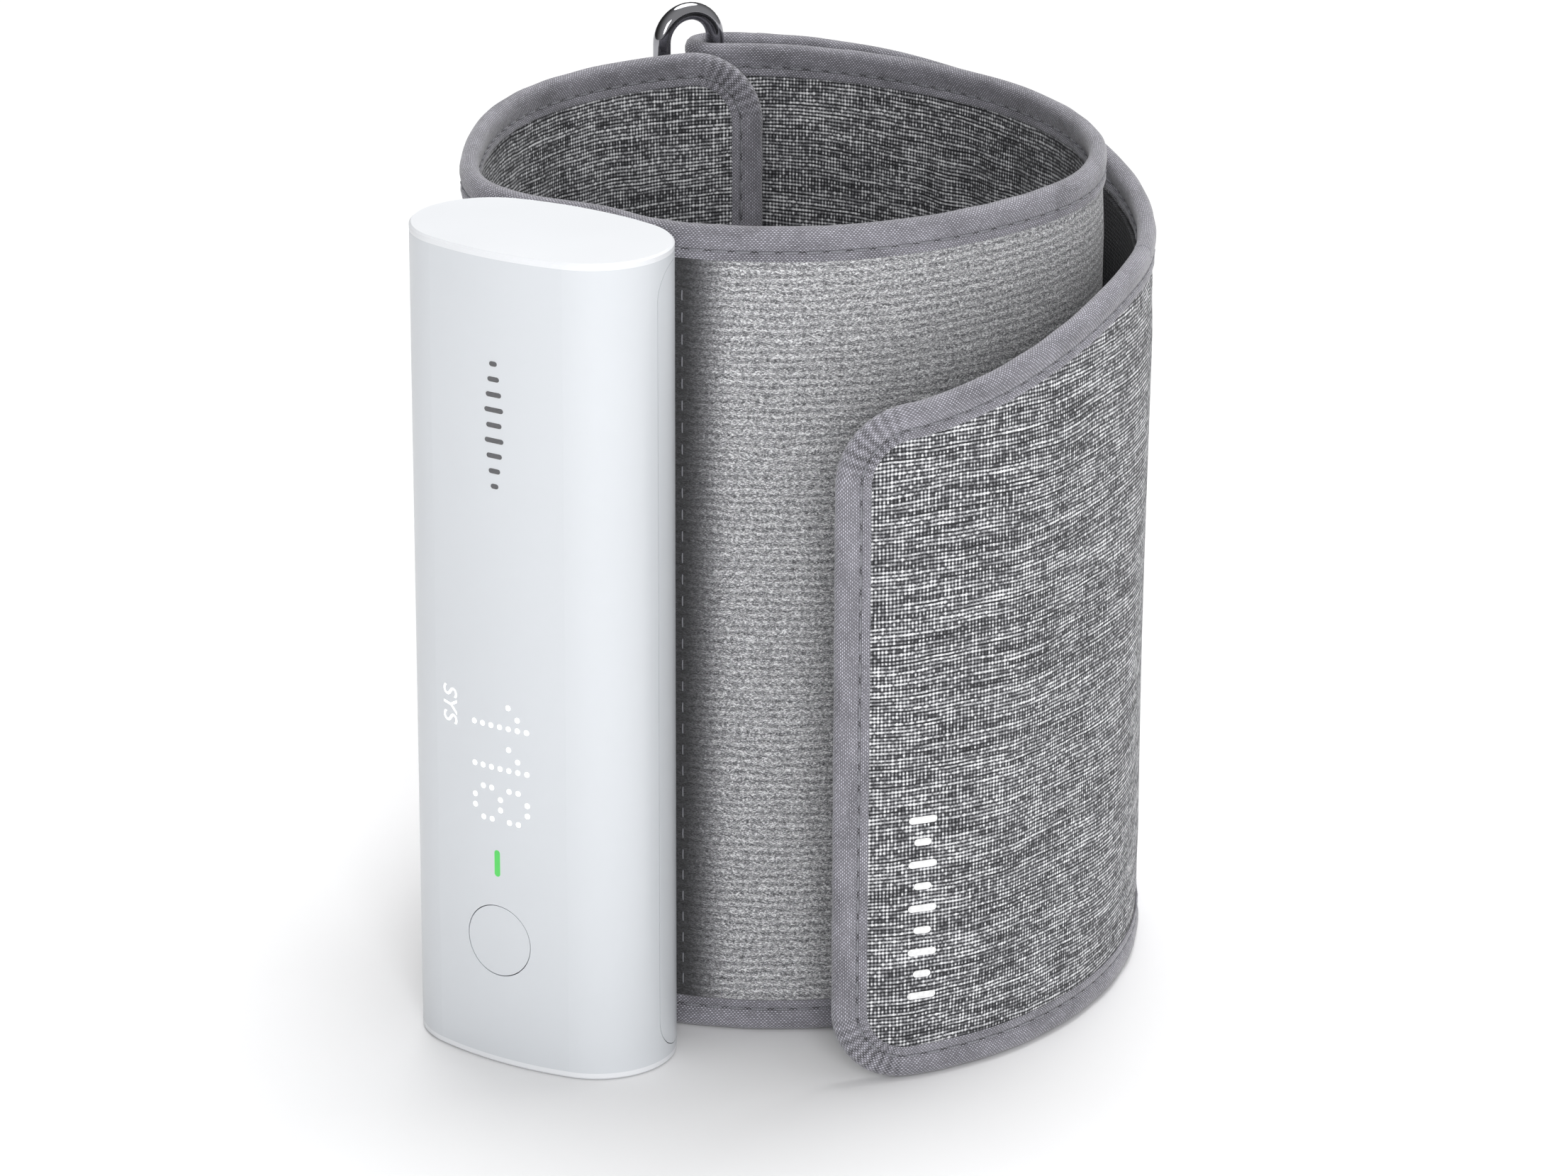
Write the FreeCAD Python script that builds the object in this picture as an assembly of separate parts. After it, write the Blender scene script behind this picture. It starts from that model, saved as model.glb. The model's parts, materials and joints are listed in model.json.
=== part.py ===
"""Upper-arm blood pressure monitor: an oval tube with pump and display, fixed to a wrap-round cloth cuff.

Millimetres. The display side faces -Y, +X is to its right and +Z is up. The part stands on its lower edges
at Z = 0. Plan positions are first laid out about the arm axis and moved by PLAN_SHIFT when they are written,
which puts the origin under the middle of the whole part.
"""

import FreeCAD
import Part
import math
import os

from FreeCAD import Placement, Rotation, Vector

# ---- Whole part
PLAN_SHIFT = Vector(-2.21, -20.45, 0)

# ---- Monitor tube, in its own frame: x across the face, y towards the cuff, z up
TUBE_HEIGHT = 150.0
TUBE_HALF_WIDTH = 24.6
TUBE_HALF_DEPTH = 15.2
TUBE_END_RADIUS = 14.0
TUBE_WALL = 1.8
TUBE_TURN = -33.0
TUBE_CENTRE = Vector(-40.4, -36.3, 0)
CAP_THICKNESS = 1.2
CAP_CHAMFER = 0.35
CAP_SPIGOT = 4.0
SEAM_GAP = 0.15
COVER_SPLIT_Y = -0.9
COVER_END_MARGIN = 1.4
COVER_CORNER = 6.0

# ---- Things on the face of the tube
BUTTON_HEIGHT = 23.6
BUTTON_RADIUS = 6.7
BUTTON_GAP = 0.18
BUTTON_TRAVEL = 0.8
LIGHT_HEIGHT = 38.3
LIGHT_LENGTH = 5.0
LIGHT_WIDTH = 1.2
DOT_PITCH = 1.95
DOT_ROWS = 7
DOT_COLUMNS = 14
DISPLAY_HEIGHT = 57.0

# ---- Inside the tube: (lowest, highest) places along one axis
LED_BOARD_Y = (-12.2, -11.4)
MAIN_BOARD_Y = (-7.0, -5.8)
CHASSIS_Y = (-4.8, -3.6)
BOARD_HALF_WIDTH = 13.0
BOARD_Z = (5.0, 142.0)
LED_BOARD_HALF_WIDTH = 9.0
LED_BOARD_Z = (14.0, 76.0)
CORE_Y = 4.6
CELL_RADIUS = 7.1
CELL_Z = (34.0, 84.0)
MOTOR_RADIUS = 7.3
MOTOR_Z = (114.0, 138.0)
PUMP_HEAD_HALF = 7.3
PUMP_HEAD_Z = (99.0, 114.0)
NOZZLE_Z = 91.5
NOZZLE_RADIUS = 2.6
NOZZLE_BORE = 1.5
HOSE_RADIUS = 1.9
HOSE_BORE = 1.0
VALVE_X = 13.0
VALVE_HALF = 5.0
VALVE_Z = (9.0, 27.0)
SENSOR_X = -13.0
SENSOR_Z = 70.0
PLUNGER_TRAVEL = 1.2

# ---- Cuff strip: d is across the strip, plus on the pile side and minus on the lining side
BINDING_HALF = 1.5
CORE_HALF = 1.05
PILE_D = (0.4, CORE_HALF)
STIFFENER_D = (-0.05, 0.35)
BLADDER_D = (-0.5, -0.1)
LINING_D = (-CORE_HALF, -0.55)
BINDING_WIDTH = 6.0
BINDING_CLOTH = 0.35
TAPE_GAP = 0.1
CORNER_RADIUS = 14.0
HOOK_D = (1.1, 1.9)
HOOK_LENGTH = 62.0
CLAMP_D = (1.3, 2.0)
CLAMP_SCREW_Z = (22.0, 58.0, 112.0, 136.0)
CLAMP_SCREW_RADIUS = 1.0
CLAMP_HALF_WIDTH = 9.0
CUFF_STANDOFF = 2.3
END_CORNER_TOP = 124.0
JOINT_GAP = 0.8
FLAP_START = 0.665
FLAP_DROP = 12.5

# ---- Metal ring and the cloth sleeve that holds it
RING_WIRE = 1.7
RING_FREE_BAR = Vector(-12.2, 94.0, 0)
RING_HELD_BAR = Vector(-22.2, 88.4, 0)
RING_STRAIGHT_Z = (9.2, 149.2)
SLEEVE_Z = (12.0, 144.0)
SLEEVE_CLOTH = 1.2
SLEEVE_CLEARANCE = 0.06
FOLD_RADIUS = 4.0
FOLD_Z = (7.6, 149.0)
RISE_LENGTH = 75.0
STATION_SPACING = 5.0

written = []


def smooth(x):
    """0 before x = 0, 1 after x = 1, and a smooth rise between them."""
    x = min(max(x, 0.0), 1.0)
    return x * x * (3 - 2 * x)


def write(name, shape):
    """Moves a shape into the part's frame, checks it and writes its STEP file."""
    shape = shape.copy()
    shape.translate(PLAN_SHIFT)
    solids = shape.Solids
    bad = [s for s in solids if not s.isValid() or s.Volume <= 0]
    if not solids or bad:
        print("PROBLEM", name, "solids", len(solids), "bad", len(bad))
    out = solids[0] if len(solids) == 1 else Part.makeCompound(solids)
    out.exportStep(os.path.join("parts", name + ".step"))
    written.append(name)


# ---------------------------------------------------------------- shapes in the tube's frame


def oval_wire(inset=0.0, z=0.0):
    """The tube's section: two round ends joined by two wide arcs, moved inwards by inset."""
    a = TUBE_HALF_WIDTH - inset
    b = TUBE_HALF_DEPTH - inset
    r = TUBE_END_RADIUS - inset
    c = a - r
    side = (c * c + b * b - r * r) / (2 * (b - r))
    turn = math.atan2(c, side - b)
    touch_x = c + r * math.sin(turn)
    touch_y = r * math.cos(turn)
    right = Part.Arc(Vector(touch_x, -touch_y, z), Vector(a, 0, z), Vector(touch_x, touch_y, z))
    back = Part.Arc(Vector(touch_x, touch_y, z), Vector(0, b, z), Vector(-touch_x, touch_y, z))
    left = Part.Arc(Vector(-touch_x, touch_y, z), Vector(-a, 0, z), Vector(-touch_x, -touch_y, z))
    front = Part.Arc(Vector(-touch_x, -touch_y, z), Vector(0, -b, z), Vector(touch_x, -touch_y, z))
    return Part.Wire([e.toShape() for e in (right, back, left, front)])


def oval(inset, z0, z1):
    return Part.Face(oval_wire(inset, z0)).extrude(Vector(0, 0, z1 - z0))


def box(x, y, z):
    """A block between (low, high) pairs."""
    return Part.makeBox(x[1] - x[0], y[1] - y[0], z[1] - z[0], Vector(x[0], y[0], z[0]))


def centred(half):
    return (-half, half)


def rod(radius, start, end):
    """A round bar between two points."""
    start, end = Vector(*start), Vector(*end)
    return Part.makeCylinder(radius, (end - start).Length, start, end - start)


def pipe(outer, bore, start, end):
    return rod(outer, start, end).cut(rod(bore, start, end))


def rounded_slab(half_x, half_z, radius, y, centre_z):
    """A plate facing Y with rounded corners."""
    plate = box(centred(half_x), y, (centre_z - half_z, centre_z + half_z))
    upright = [e for e in plate.Edges if abs(e.tangentAt(e.FirstParameter).y) > 0.99]
    return plate.makeFillet(radius, upright)


def in_plan(shape):
    """Turns a shape from the tube's frame into the plan frame."""
    shape = shape.copy()
    shape.Placement = Placement(TUBE_CENTRE, Rotation(Vector(0, 0, 1), TUBE_TURN)).multiply(shape.Placement)
    return shape


def tube_node(name, *solids):
    write(name, in_plan(Part.makeCompound([s for shape in solids for s in shape.Solids])))


def cover_opening(grow):
    """The space of the rear cover: everything behind the split line, with rounded corners seen side-on."""
    low = CAP_THICKNESS + COVER_END_MARGIN - grow
    high = TUBE_HEIGHT - low
    block = box(centred(2 * TUBE_HALF_WIDTH), (COVER_SPLIT_Y - grow, 2 * TUBE_HALF_DEPTH), (low, high))
    front = [
        e for e in block.Edges
        if abs(e.tangentAt(e.FirstParameter).x) > 0.99 and e.CenterOfMass.y < TUBE_HALF_DEPTH
    ]
    return block.makeFillet(COVER_CORNER + grow, front)




def make_housing():
    wall = oval(0, CAP_THICKNESS, TUBE_HEIGHT - CAP_THICKNESS)
    wall = wall.cut(oval(TUBE_WALL, 0, TUBE_HEIGHT))
    front = wall.cut(cover_opening(SEAM_GAP / 2))
    front = front.cut(rod(BUTTON_RADIUS, (0, -20, BUTTON_HEIGHT), (0, 0, BUTTON_HEIGHT)))
    light = rounded_slab(LIGHT_WIDTH / 2, LIGHT_LENGTH / 2, LIGHT_WIDTH * 0.49, (-20, -10), LIGHT_HEIGHT)
    front = front.cut(light)
    tube_node("front_shell", front)

    cover = wall.common(cover_opening(-SEAM_GAP / 2))
    cover = cover.cut(rod(NOZZLE_RADIUS + 0.05, (0, 10, NOZZLE_Z), (0, 20, NOZZLE_Z)))
    for z in CLAMP_SCREW_Z:
        cover = cover.cut(rod(CLAMP_SCREW_RADIUS + 0.05, (0, 10, z), (0, 20, z)))
    tube_node("rear_cover", cover)

    pipe_skin = oval(0, 0, TUBE_HEIGHT)
    tube_node("status_light", light.common(pipe_skin.cut(oval(TUBE_WALL + 0.6, 0, TUBE_HEIGHT))))

    for name, low in (("bottom_cap", 0.0), ("top_cap", TUBE_HEIGHT - CAP_THICKNESS)):
        plate = oval(0, low, low + CAP_THICKNESS)
        outer_z = 0.0 if low == 0.0 else TUBE_HEIGHT
        boxes = [(edge, edge.BoundBox) for edge in plate.Edges]
        rim = [edge for edge, b in boxes if max(abs(b.ZMin - outer_z), abs(b.ZMax - outer_z)) < 1e-6]
        plate = plate.makeChamfer(CAP_CHAMFER, rim)
        spigot_z = (low - CAP_SPIGOT + CAP_THICKNESS, low)
        if low == 0.0:
            spigot_z = (low + CAP_THICKNESS, low + CAP_SPIGOT)
        spigot = oval(TUBE_WALL + 0.05, *spigot_z).cut(oval(TUBE_WALL + 1.4, *spigot_z))
        cap = plate.fuse(spigot)
        if low == 0.0:
            cap = cap.cut(box(centred(4.1), (MAIN_BOARD_Y[1] - 0.2, MAIN_BOARD_Y[1] + 3.2), (-1, 10)))
        tube_node(name, cap)


def make_button():
    """A round key whose face follows the tube, with a flange behind the wall and a stem to the switch."""
    key = rod(BUTTON_RADIUS - BUTTON_GAP, (0, -20, BUTTON_HEIGHT), (0, -12.4, BUTTON_HEIGHT))
    key = key.common(oval(0.05, 0, TUBE_HEIGHT))
    flange_y = -(TUBE_HALF_DEPTH - TUBE_WALL) + 0.2
    flange = rod(BUTTON_RADIUS + 0.9, (0, flange_y, BUTTON_HEIGHT), (0, flange_y + 0.8, BUTTON_HEIGHT))
    flange = flange.common(oval(TUBE_WALL + 0.1, 0, TUBE_HEIGHT))
    stem = rod(1.5, (0, flange_y, BUTTON_HEIGHT), (0, -10.4, BUTTON_HEIGHT))
    tube_node("power_button", key.fuse([flange, stem]))


def make_display():
    board = box(centred(LED_BOARD_HALF_WIDTH), LED_BOARD_Y, LED_BOARD_Z)
    board = board.cut(rod(BUTTON_RADIUS + 1.4, (0, -14, BUTTON_HEIGHT), (0, -8, BUTTON_HEIGHT)))
    tube_node("led_board", board)
    chips = []
    half = 0.45
    face_y = LED_BOARD_Y[0]
    first = DISPLAY_HEIGHT - DOT_PITCH * (DOT_COLUMNS - 1) / 2
    for row in range(DOT_ROWS):
        x = DOT_PITCH * (row - (DOT_ROWS - 1) / 2)
        for column in range(DOT_COLUMNS):
            z = first + DOT_PITCH * column
            chips.append(box((x - half, x + half), (face_y - 0.5, face_y), (z - half, z + half)))
    chips.append(box(centred(half), (face_y - 0.3, face_y), (LIGHT_HEIGHT - 0.8, LIGHT_HEIGHT + 0.8)))
    tube_node("led_chips", *chips)


def make_boards():
    board = box(centred(BOARD_HALF_WIDTH), MAIN_BOARD_Y, BOARD_Z)
    chassis_z = (CAP_SPIGOT + 0.6, TUBE_HEIGHT - CAP_SPIGOT - 0.6)
    chassis = box(centred(BOARD_HALF_WIDTH + 4), CHASSIS_Y, chassis_z)
    chassis = chassis.cut(box((SENSOR_X - 3.4, SENSOR_X + 3.4), (-10, 0), (SENSOR_Z - 3.4, SENSOR_Z + 3.4)))
    chassis = chassis.cut(box(centred(5), (-10, 0), (0, 13)))
    screws, standoffs = [], []
    for x in centred(BOARD_HALF_WIDTH - 2.2):
        for z in (BOARD_Z[0] + 12, BOARD_Z[1] - 5):
            hole = rod(1.0, (x, -10, z), (x, 0, z))
            board, chassis = board.cut(hole), chassis.cut(hole)
            standoffs.append(pipe(1.9, 1.0, (x, MAIN_BOARD_Y[1], z), (x, CHASSIS_Y[0], z)))
            head = rod(1.8, (x, MAIN_BOARD_Y[0] - 1.1, z), (x, MAIN_BOARD_Y[0], z))
            screws.append(head.fuse(rod(0.95, (x, MAIN_BOARD_Y[0], z), (x, CHASSIS_Y[1] + 0.4, z))))
    ribs = [
        box((side * (BOARD_HALF_WIDTH + 3.4) - 0.6, side * (BOARD_HALF_WIDTH + 3.4) + 0.6),
            (CHASSIS_Y[1], CHASSIS_Y[1] + 3.0), (CELL_Z[0], CELL_Z[1] - 24))
        for side in (-1, 1)
    ]
    tube_node("main_board", board)
    tube_node("chassis", chassis.fuse(ribs + standoffs))
    tube_node("board_screws", *screws)
    chips = [
        box((-4, 4), (MAIN_BOARD_Y[0] - 1.2, MAIN_BOARD_Y[0]), (92, 100)),
        box((-9, -4), (MAIN_BOARD_Y[0] - 1.0, MAIN_BOARD_Y[0]), (106, 112)),
        box((3, 10), (MAIN_BOARD_Y[0] - 1.6, MAIN_BOARD_Y[0]), (108, 118)),
        box((-6, 6), (MAIN_BOARD_Y[0] - 0.8, MAIN_BOARD_Y[0]), (124, 134)),
    ]
    for n in range(6):
        chips.append(box((-10 + 3 * n, -8.6 + 3 * n), (MAIN_BOARD_Y[0] - 0.6, MAIN_BOARD_Y[0]), (84, 86)))
    tube_node("board_chips", *chips)
    port = box(centred(4.0), (MAIN_BOARD_Y[1], MAIN_BOARD_Y[1] + 2.9), (0.8, 7.0))
    port = port.cut(box(centred(3.5), (MAIN_BOARD_Y[1] + 0.4, MAIN_BOARD_Y[1] + 2.5), (0, 6.2)))
    port = port.fuse(box(centred(2.6), (MAIN_BOARD_Y[1] + 1.1, MAIN_BOARD_Y[1] + 1.7), (2.0, 6.4)))
    tube_node("charge_port", port)
    switch_y = -10.4 + BUTTON_TRAVEL + 0.1
    body = box(centred(3), (switch_y + 0.6, MAIN_BOARD_Y[0]), (BUTTON_HEIGHT - 3, BUTTON_HEIGHT + 3))
    nub = rod(1.2, (0, switch_y, BUTTON_HEIGHT), (0, switch_y + 0.7, BUTTON_HEIGHT))
    tube_node("button_switch", body.fuse(nub))


def make_power():
    tube_node("battery_cell", rod(CELL_RADIUS, (0, CORE_Y, CELL_Z[0]), (0, CORE_Y, CELL_Z[1])).fuse(
        rod(2.4, (0, CORE_Y, CELL_Z[1]), (0, CORE_Y, CELL_Z[1] + 0.8))))
    clips = []
    for z0, z1 in ((CELL_Z[0] - 0.8, CELL_Z[0] - 0.1), (CELL_Z[1] + 0.9, CELL_Z[1] + 1.6)):
        clips.append(box(centred(4), (CHASSIS_Y[1], CORE_Y + 4), (z0, z1)))
    tube_node("battery_contacts", *clips)


def make_pump():
    """A diaphragm pump: can motor on top, head below it, an eccentric on the motor's shaft in the head."""
    axis = (0, CORE_Y)
    shaft, bore = 1.0, 1.05
    can = rod(MOTOR_RADIUS, (*axis, MOTOR_Z[0]), (*axis, MOTOR_Z[1]))
    can = can.cut(rod(MOTOR_RADIUS - 0.8, (*axis, MOTOR_Z[0] + 1), (*axis, MOTOR_Z[1] - 1)))
    can = can.cut(rod(bore, (*axis, MOTOR_Z[0]), (*axis, MOTOR_Z[0] + 1)))
    tube_node("pump_motor_can", can)
    magnets = pipe(MOTOR_RADIUS - 0.9, MOTOR_RADIUS - 2.2, (*axis, MOTOR_Z[0] + 4), (*axis, MOTOR_Z[1] - 4))
    tube_node("pump_magnets", magnets)
    rotor = rod(shaft, (*axis, PUMP_HEAD_Z[0] + 6), (*axis, MOTOR_Z[1] - 1.4))
    armature = rod(MOTOR_RADIUS - 2.7, (*axis, MOTOR_Z[0] + 4), (*axis, MOTOR_Z[1] - 5))
    eccentric = rod(3.0, (0.8, CORE_Y, PUMP_HEAD_Z[0] + 6.5), (0.8, CORE_Y, PUMP_HEAD_Z[0] + 10))
    tube_node("pump_rotor", rotor.fuse([armature, eccentric]))
    square = centred(PUMP_HEAD_HALF)
    head = box(square, (CORE_Y - PUMP_HEAD_HALF, CORE_Y + PUMP_HEAD_HALF), PUMP_HEAD_Z)
    head = head.cut(rod(5.6, (*axis, PUMP_HEAD_Z[0] + 2), (*axis, PUMP_HEAD_Z[1])))
    nipple = pipe(HOSE_BORE, 0.6, (*axis, PUMP_HEAD_Z[0] - 2.2), (*axis, PUMP_HEAD_Z[0] + 2))
    head = head.cut(rod(HOSE_BORE, (*axis, PUMP_HEAD_Z[0]), (*axis, PUMP_HEAD_Z[0] + 2))).fuse(nipple)
    tube_node("pump_head", head)
    cup = rod(5.5, (*axis, PUMP_HEAD_Z[0] + 2.6), (*axis, PUMP_HEAD_Z[0] + 4.2))
    neck = rod(2.0, (*axis, PUMP_HEAD_Z[0] + 4.2), (*axis, PUMP_HEAD_Z[0] + 5.8))
    tube_node("pump_diaphragm", cup.fuse(neck))


def make_valve():
    middle = (VALVE_X, CORE_Y)
    square = (VALVE_X - VALVE_HALF, VALVE_X + VALVE_HALF)
    frame = box(square, (CORE_Y - VALVE_HALF, CORE_Y + VALVE_HALF), VALVE_Z)
    frame = frame.cut(rod(4.3, (*middle, VALVE_Z[0] + 1), (*middle, VALVE_Z[1] - 1)))
    frame = frame.cut(rod(1.3, (*middle, VALVE_Z[0] - 1), (*middle, VALVE_Z[0] + 2)))
    top = VALVE_Z[1] + 3.2
    nipple = rod(HOSE_BORE, (*middle, VALVE_Z[1] - 1), (*middle, top))
    frame = frame.fuse(nipple).cut(rod(0.6, (*middle, VALVE_Z[1] - 2), (*middle, top)))
    tube_node("valve_body", frame)
    tube_node("valve_coil", pipe(4.2, 1.6, (*middle, VALVE_Z[0] + 3), (*middle, VALVE_Z[1] - 5)))
    plunger = rod(1.2, (*middle, VALVE_Z[0] - 1.5), (*middle, VALVE_Z[1] - 1.2 - PLUNGER_TRAVEL))
    foot_z = VALVE_Z[1] - 3.6 - PLUNGER_TRAVEL
    plunger = plunger.fuse(rod(2.2, (*middle, foot_z), (*middle, foot_z + 1.0)))
    tube_node("valve_plunger", plunger)


def hose(points, radius):
    """A hose along straight runs joined by tangent arcs, as large as the two runs allow."""
    points = [Vector(*p) for p in points]
    edges, at = [], points[0]
    for before, corner, after in zip(points, points[1:], points[2:]):
        back, on = (before - corner), (after - corner)
        reach = 0.45 * min(back.Length, on.Length)
        back.normalize()
        on.normalize()
        start, end = corner + back * reach, corner + on * reach
        half = back.getAngle(on) / 2
        middle = (back + on).normalize()
        centre = corner + middle * (reach / math.cos(half))
        crown = centre - middle * (reach * math.tan(half))
        edges += [Part.LineSegment(at, start).toShape(), Part.Arc(start, crown, end).toShape()]
        at = end
    edges.append(Part.LineSegment(at, points[-1]).toShape())
    spine = Part.Wire(edges)
    first = points[1] - points[0]
    sweep = Part.BRepOffsetAPI.MakePipeShell(spine)
    sweep.add(Part.Wire(Part.Circle(points[0], first, radius).toShape()))
    sweep.build()
    sweep.makeSolid()
    return sweep.shape()


def make_air():
    half = 4.0
    block = box(centred(half), (CORE_Y - half, CORE_Y + half), (NOZZLE_Z - half, NOZZLE_Z + half))
    core = [
        rod(0.9, (-half - 1, CORE_Y, NOZZLE_Z), (half + 1, CORE_Y, NOZZLE_Z)),
        rod(0.9, (0, CORE_Y, NOZZLE_Z), (0, CORE_Y, NOZZLE_Z + half + 1)),
        rod(NOZZLE_BORE, (0, CORE_Y, NOZZLE_Z), (0, CORE_Y + half + 1, NOZZLE_Z)),
    ]
    for side in (-1, 1):
        spout_end = (side * (half + 3), CORE_Y, NOZZLE_Z)
        block = block.fuse(rod(HOSE_BORE, (side * half, CORE_Y, NOZZLE_Z), spout_end))
        core.append(rod(0.6, (side * half, CORE_Y, NOZZLE_Z), (side * (half + 3), CORE_Y, NOZZLE_Z)))
    tube_node("air_manifold", block.cut(core))
    tip = TUBE_HALF_DEPTH + CUFF_STANDOFF - STIFFENER_D[0] - 0.1
    nozzle = rod(NOZZLE_RADIUS, (0, CORE_Y + half, NOZZLE_Z), (0, tip, NOZZLE_Z))
    wall = TUBE_HALF_DEPTH - TUBE_WALL
    collar = rod(4.0, (0, wall - 2.2, NOZZLE_Z), (0, wall - 1.15, NOZZLE_Z))
    nozzle = nozzle.fuse(collar).cut(rod(NOZZLE_BORE, (0, 0, NOZZLE_Z), (0, tip, NOZZLE_Z)))
    tube_node("air_nozzle", nozzle)
    seal = Part.makeTorus(NOZZLE_RADIUS + 0.42, 0.4, Vector(0, wall - 0.68, NOZZLE_Z), Vector(0, 1, 0))
    tube_node("nozzle_seal", seal)
    side_hoses = {
        "valve_hose": [
            (half + 0.2, CORE_Y, NOZZLE_Z), (VALVE_X, CORE_Y, NOZZLE_Z), (VALVE_X, CORE_Y, VALVE_Z[1] + 0.2),
        ],
        "sensor_hose": [
            (-half - 0.2, CORE_Y, NOZZLE_Z), (SENSOR_X, CORE_Y, NOZZLE_Z), (SENSOR_X, CORE_Y, SENSOR_Z + 4.4),
        ],
    }
    for name, route in side_hoses.items():
        tube_node(name, hose(route, HOSE_RADIUS).cut(hose(route, HOSE_BORE + 0.02)))
    tube_node("pump_hose", pipe(HOSE_RADIUS, HOSE_BORE + 0.02, (0, CORE_Y, NOZZLE_Z + half + 0.1),
                                (0, CORE_Y, PUMP_HEAD_Z[0] - 0.1)))
    low, high = SENSOR_Z - 3.2, SENSOR_Z + 3.2
    sensor = box((SENSOR_X - 3.2, SENSOR_X + 3.2), (MAIN_BOARD_Y[1], CORE_Y + 2.2), (low, high))
    sensor = sensor.fuse(rod(HOSE_BORE, (SENSOR_X, CORE_Y, high), (SENSOR_X, CORE_Y, high + 3.6)))
    tube_node("pressure_sensor", sensor.cut(rod(0.6, (SENSOR_X, CORE_Y, SENSOR_Z), (SENSOR_X, CORE_Y, high + 4))))


# ---------------------------------------------------------------- the strip's path


def tube_back(x, off):
    """A plan point at x across the tube, off its rear face by off."""
    c = TUBE_HALF_WIDTH - TUBE_END_RADIUS
    side = (c * c + TUBE_HALF_DEPTH ** 2 - TUBE_END_RADIUS ** 2) / (2 * (TUBE_HALF_DEPTH - TUBE_END_RADIUS))
    turn = math.asin(x / side)
    local = Vector((side + off) * math.sin(turn), TUBE_HALF_DEPTH - side + (side + off) * math.cos(turn), 0)
    return Placement(TUBE_CENTRE, Rotation(Vector(0, 0, 1), TUBE_TURN)).multVec(local)


LOOP_PLAN = (
    [Vector(*p) for p in (
        (-3.0, 81.5), (-18.0, 78.6), (-33.2, 69.8), (-44.8, 56.6), (-52.2, 38.6),
        (-54.8, 17.0), (-54.2, 2.0), (-50.0, -8.6),
    )]
    + [tube_back(x, CUFF_STANDOFF) for x in (-12.0, -4.0, 4.0, 11.0)]
    + [Vector(*p) for p in (
        (-10.5, -32.7), (2.0, -33.7), (20.0, -29.6), (38.9, -17.4), (52.4, -0.9), (57.2, 18.0),
        (53.6, 39.3), (42.4, 59.8), (24.0, 77.6), (9.0, 86.2), (-2.0, 89.4),
    )]
    + [RING_FREE_BAR + Vector(3.5, -FOLD_RADIUS, 0), RING_FREE_BAR + Vector(0, -FOLD_RADIUS, 0)]
)
WRAP_PLAN = [RING_FREE_BAR + Vector(0, FOLD_RADIUS, 0), RING_FREE_BAR + Vector(4, FOLD_RADIUS, 0)]
WRAP_PLAN += [Vector(*p) for p in (
    (3.0, 97.3), (20.5, 92.6), (39.0, 81.3), (53.7, 64.5), (62.9, 43.6), (66.1, 22.0), (64.6, 1.4),
    (58.4, -18.2), (47.8, -35.2), (33.8, -47.9), (20.0, -54.6), (9.8, -57.3),
)]


def spline(points):
    curve = Part.BSplineCurve()
    curve.interpolate(Points=points)
    return curve


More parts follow.
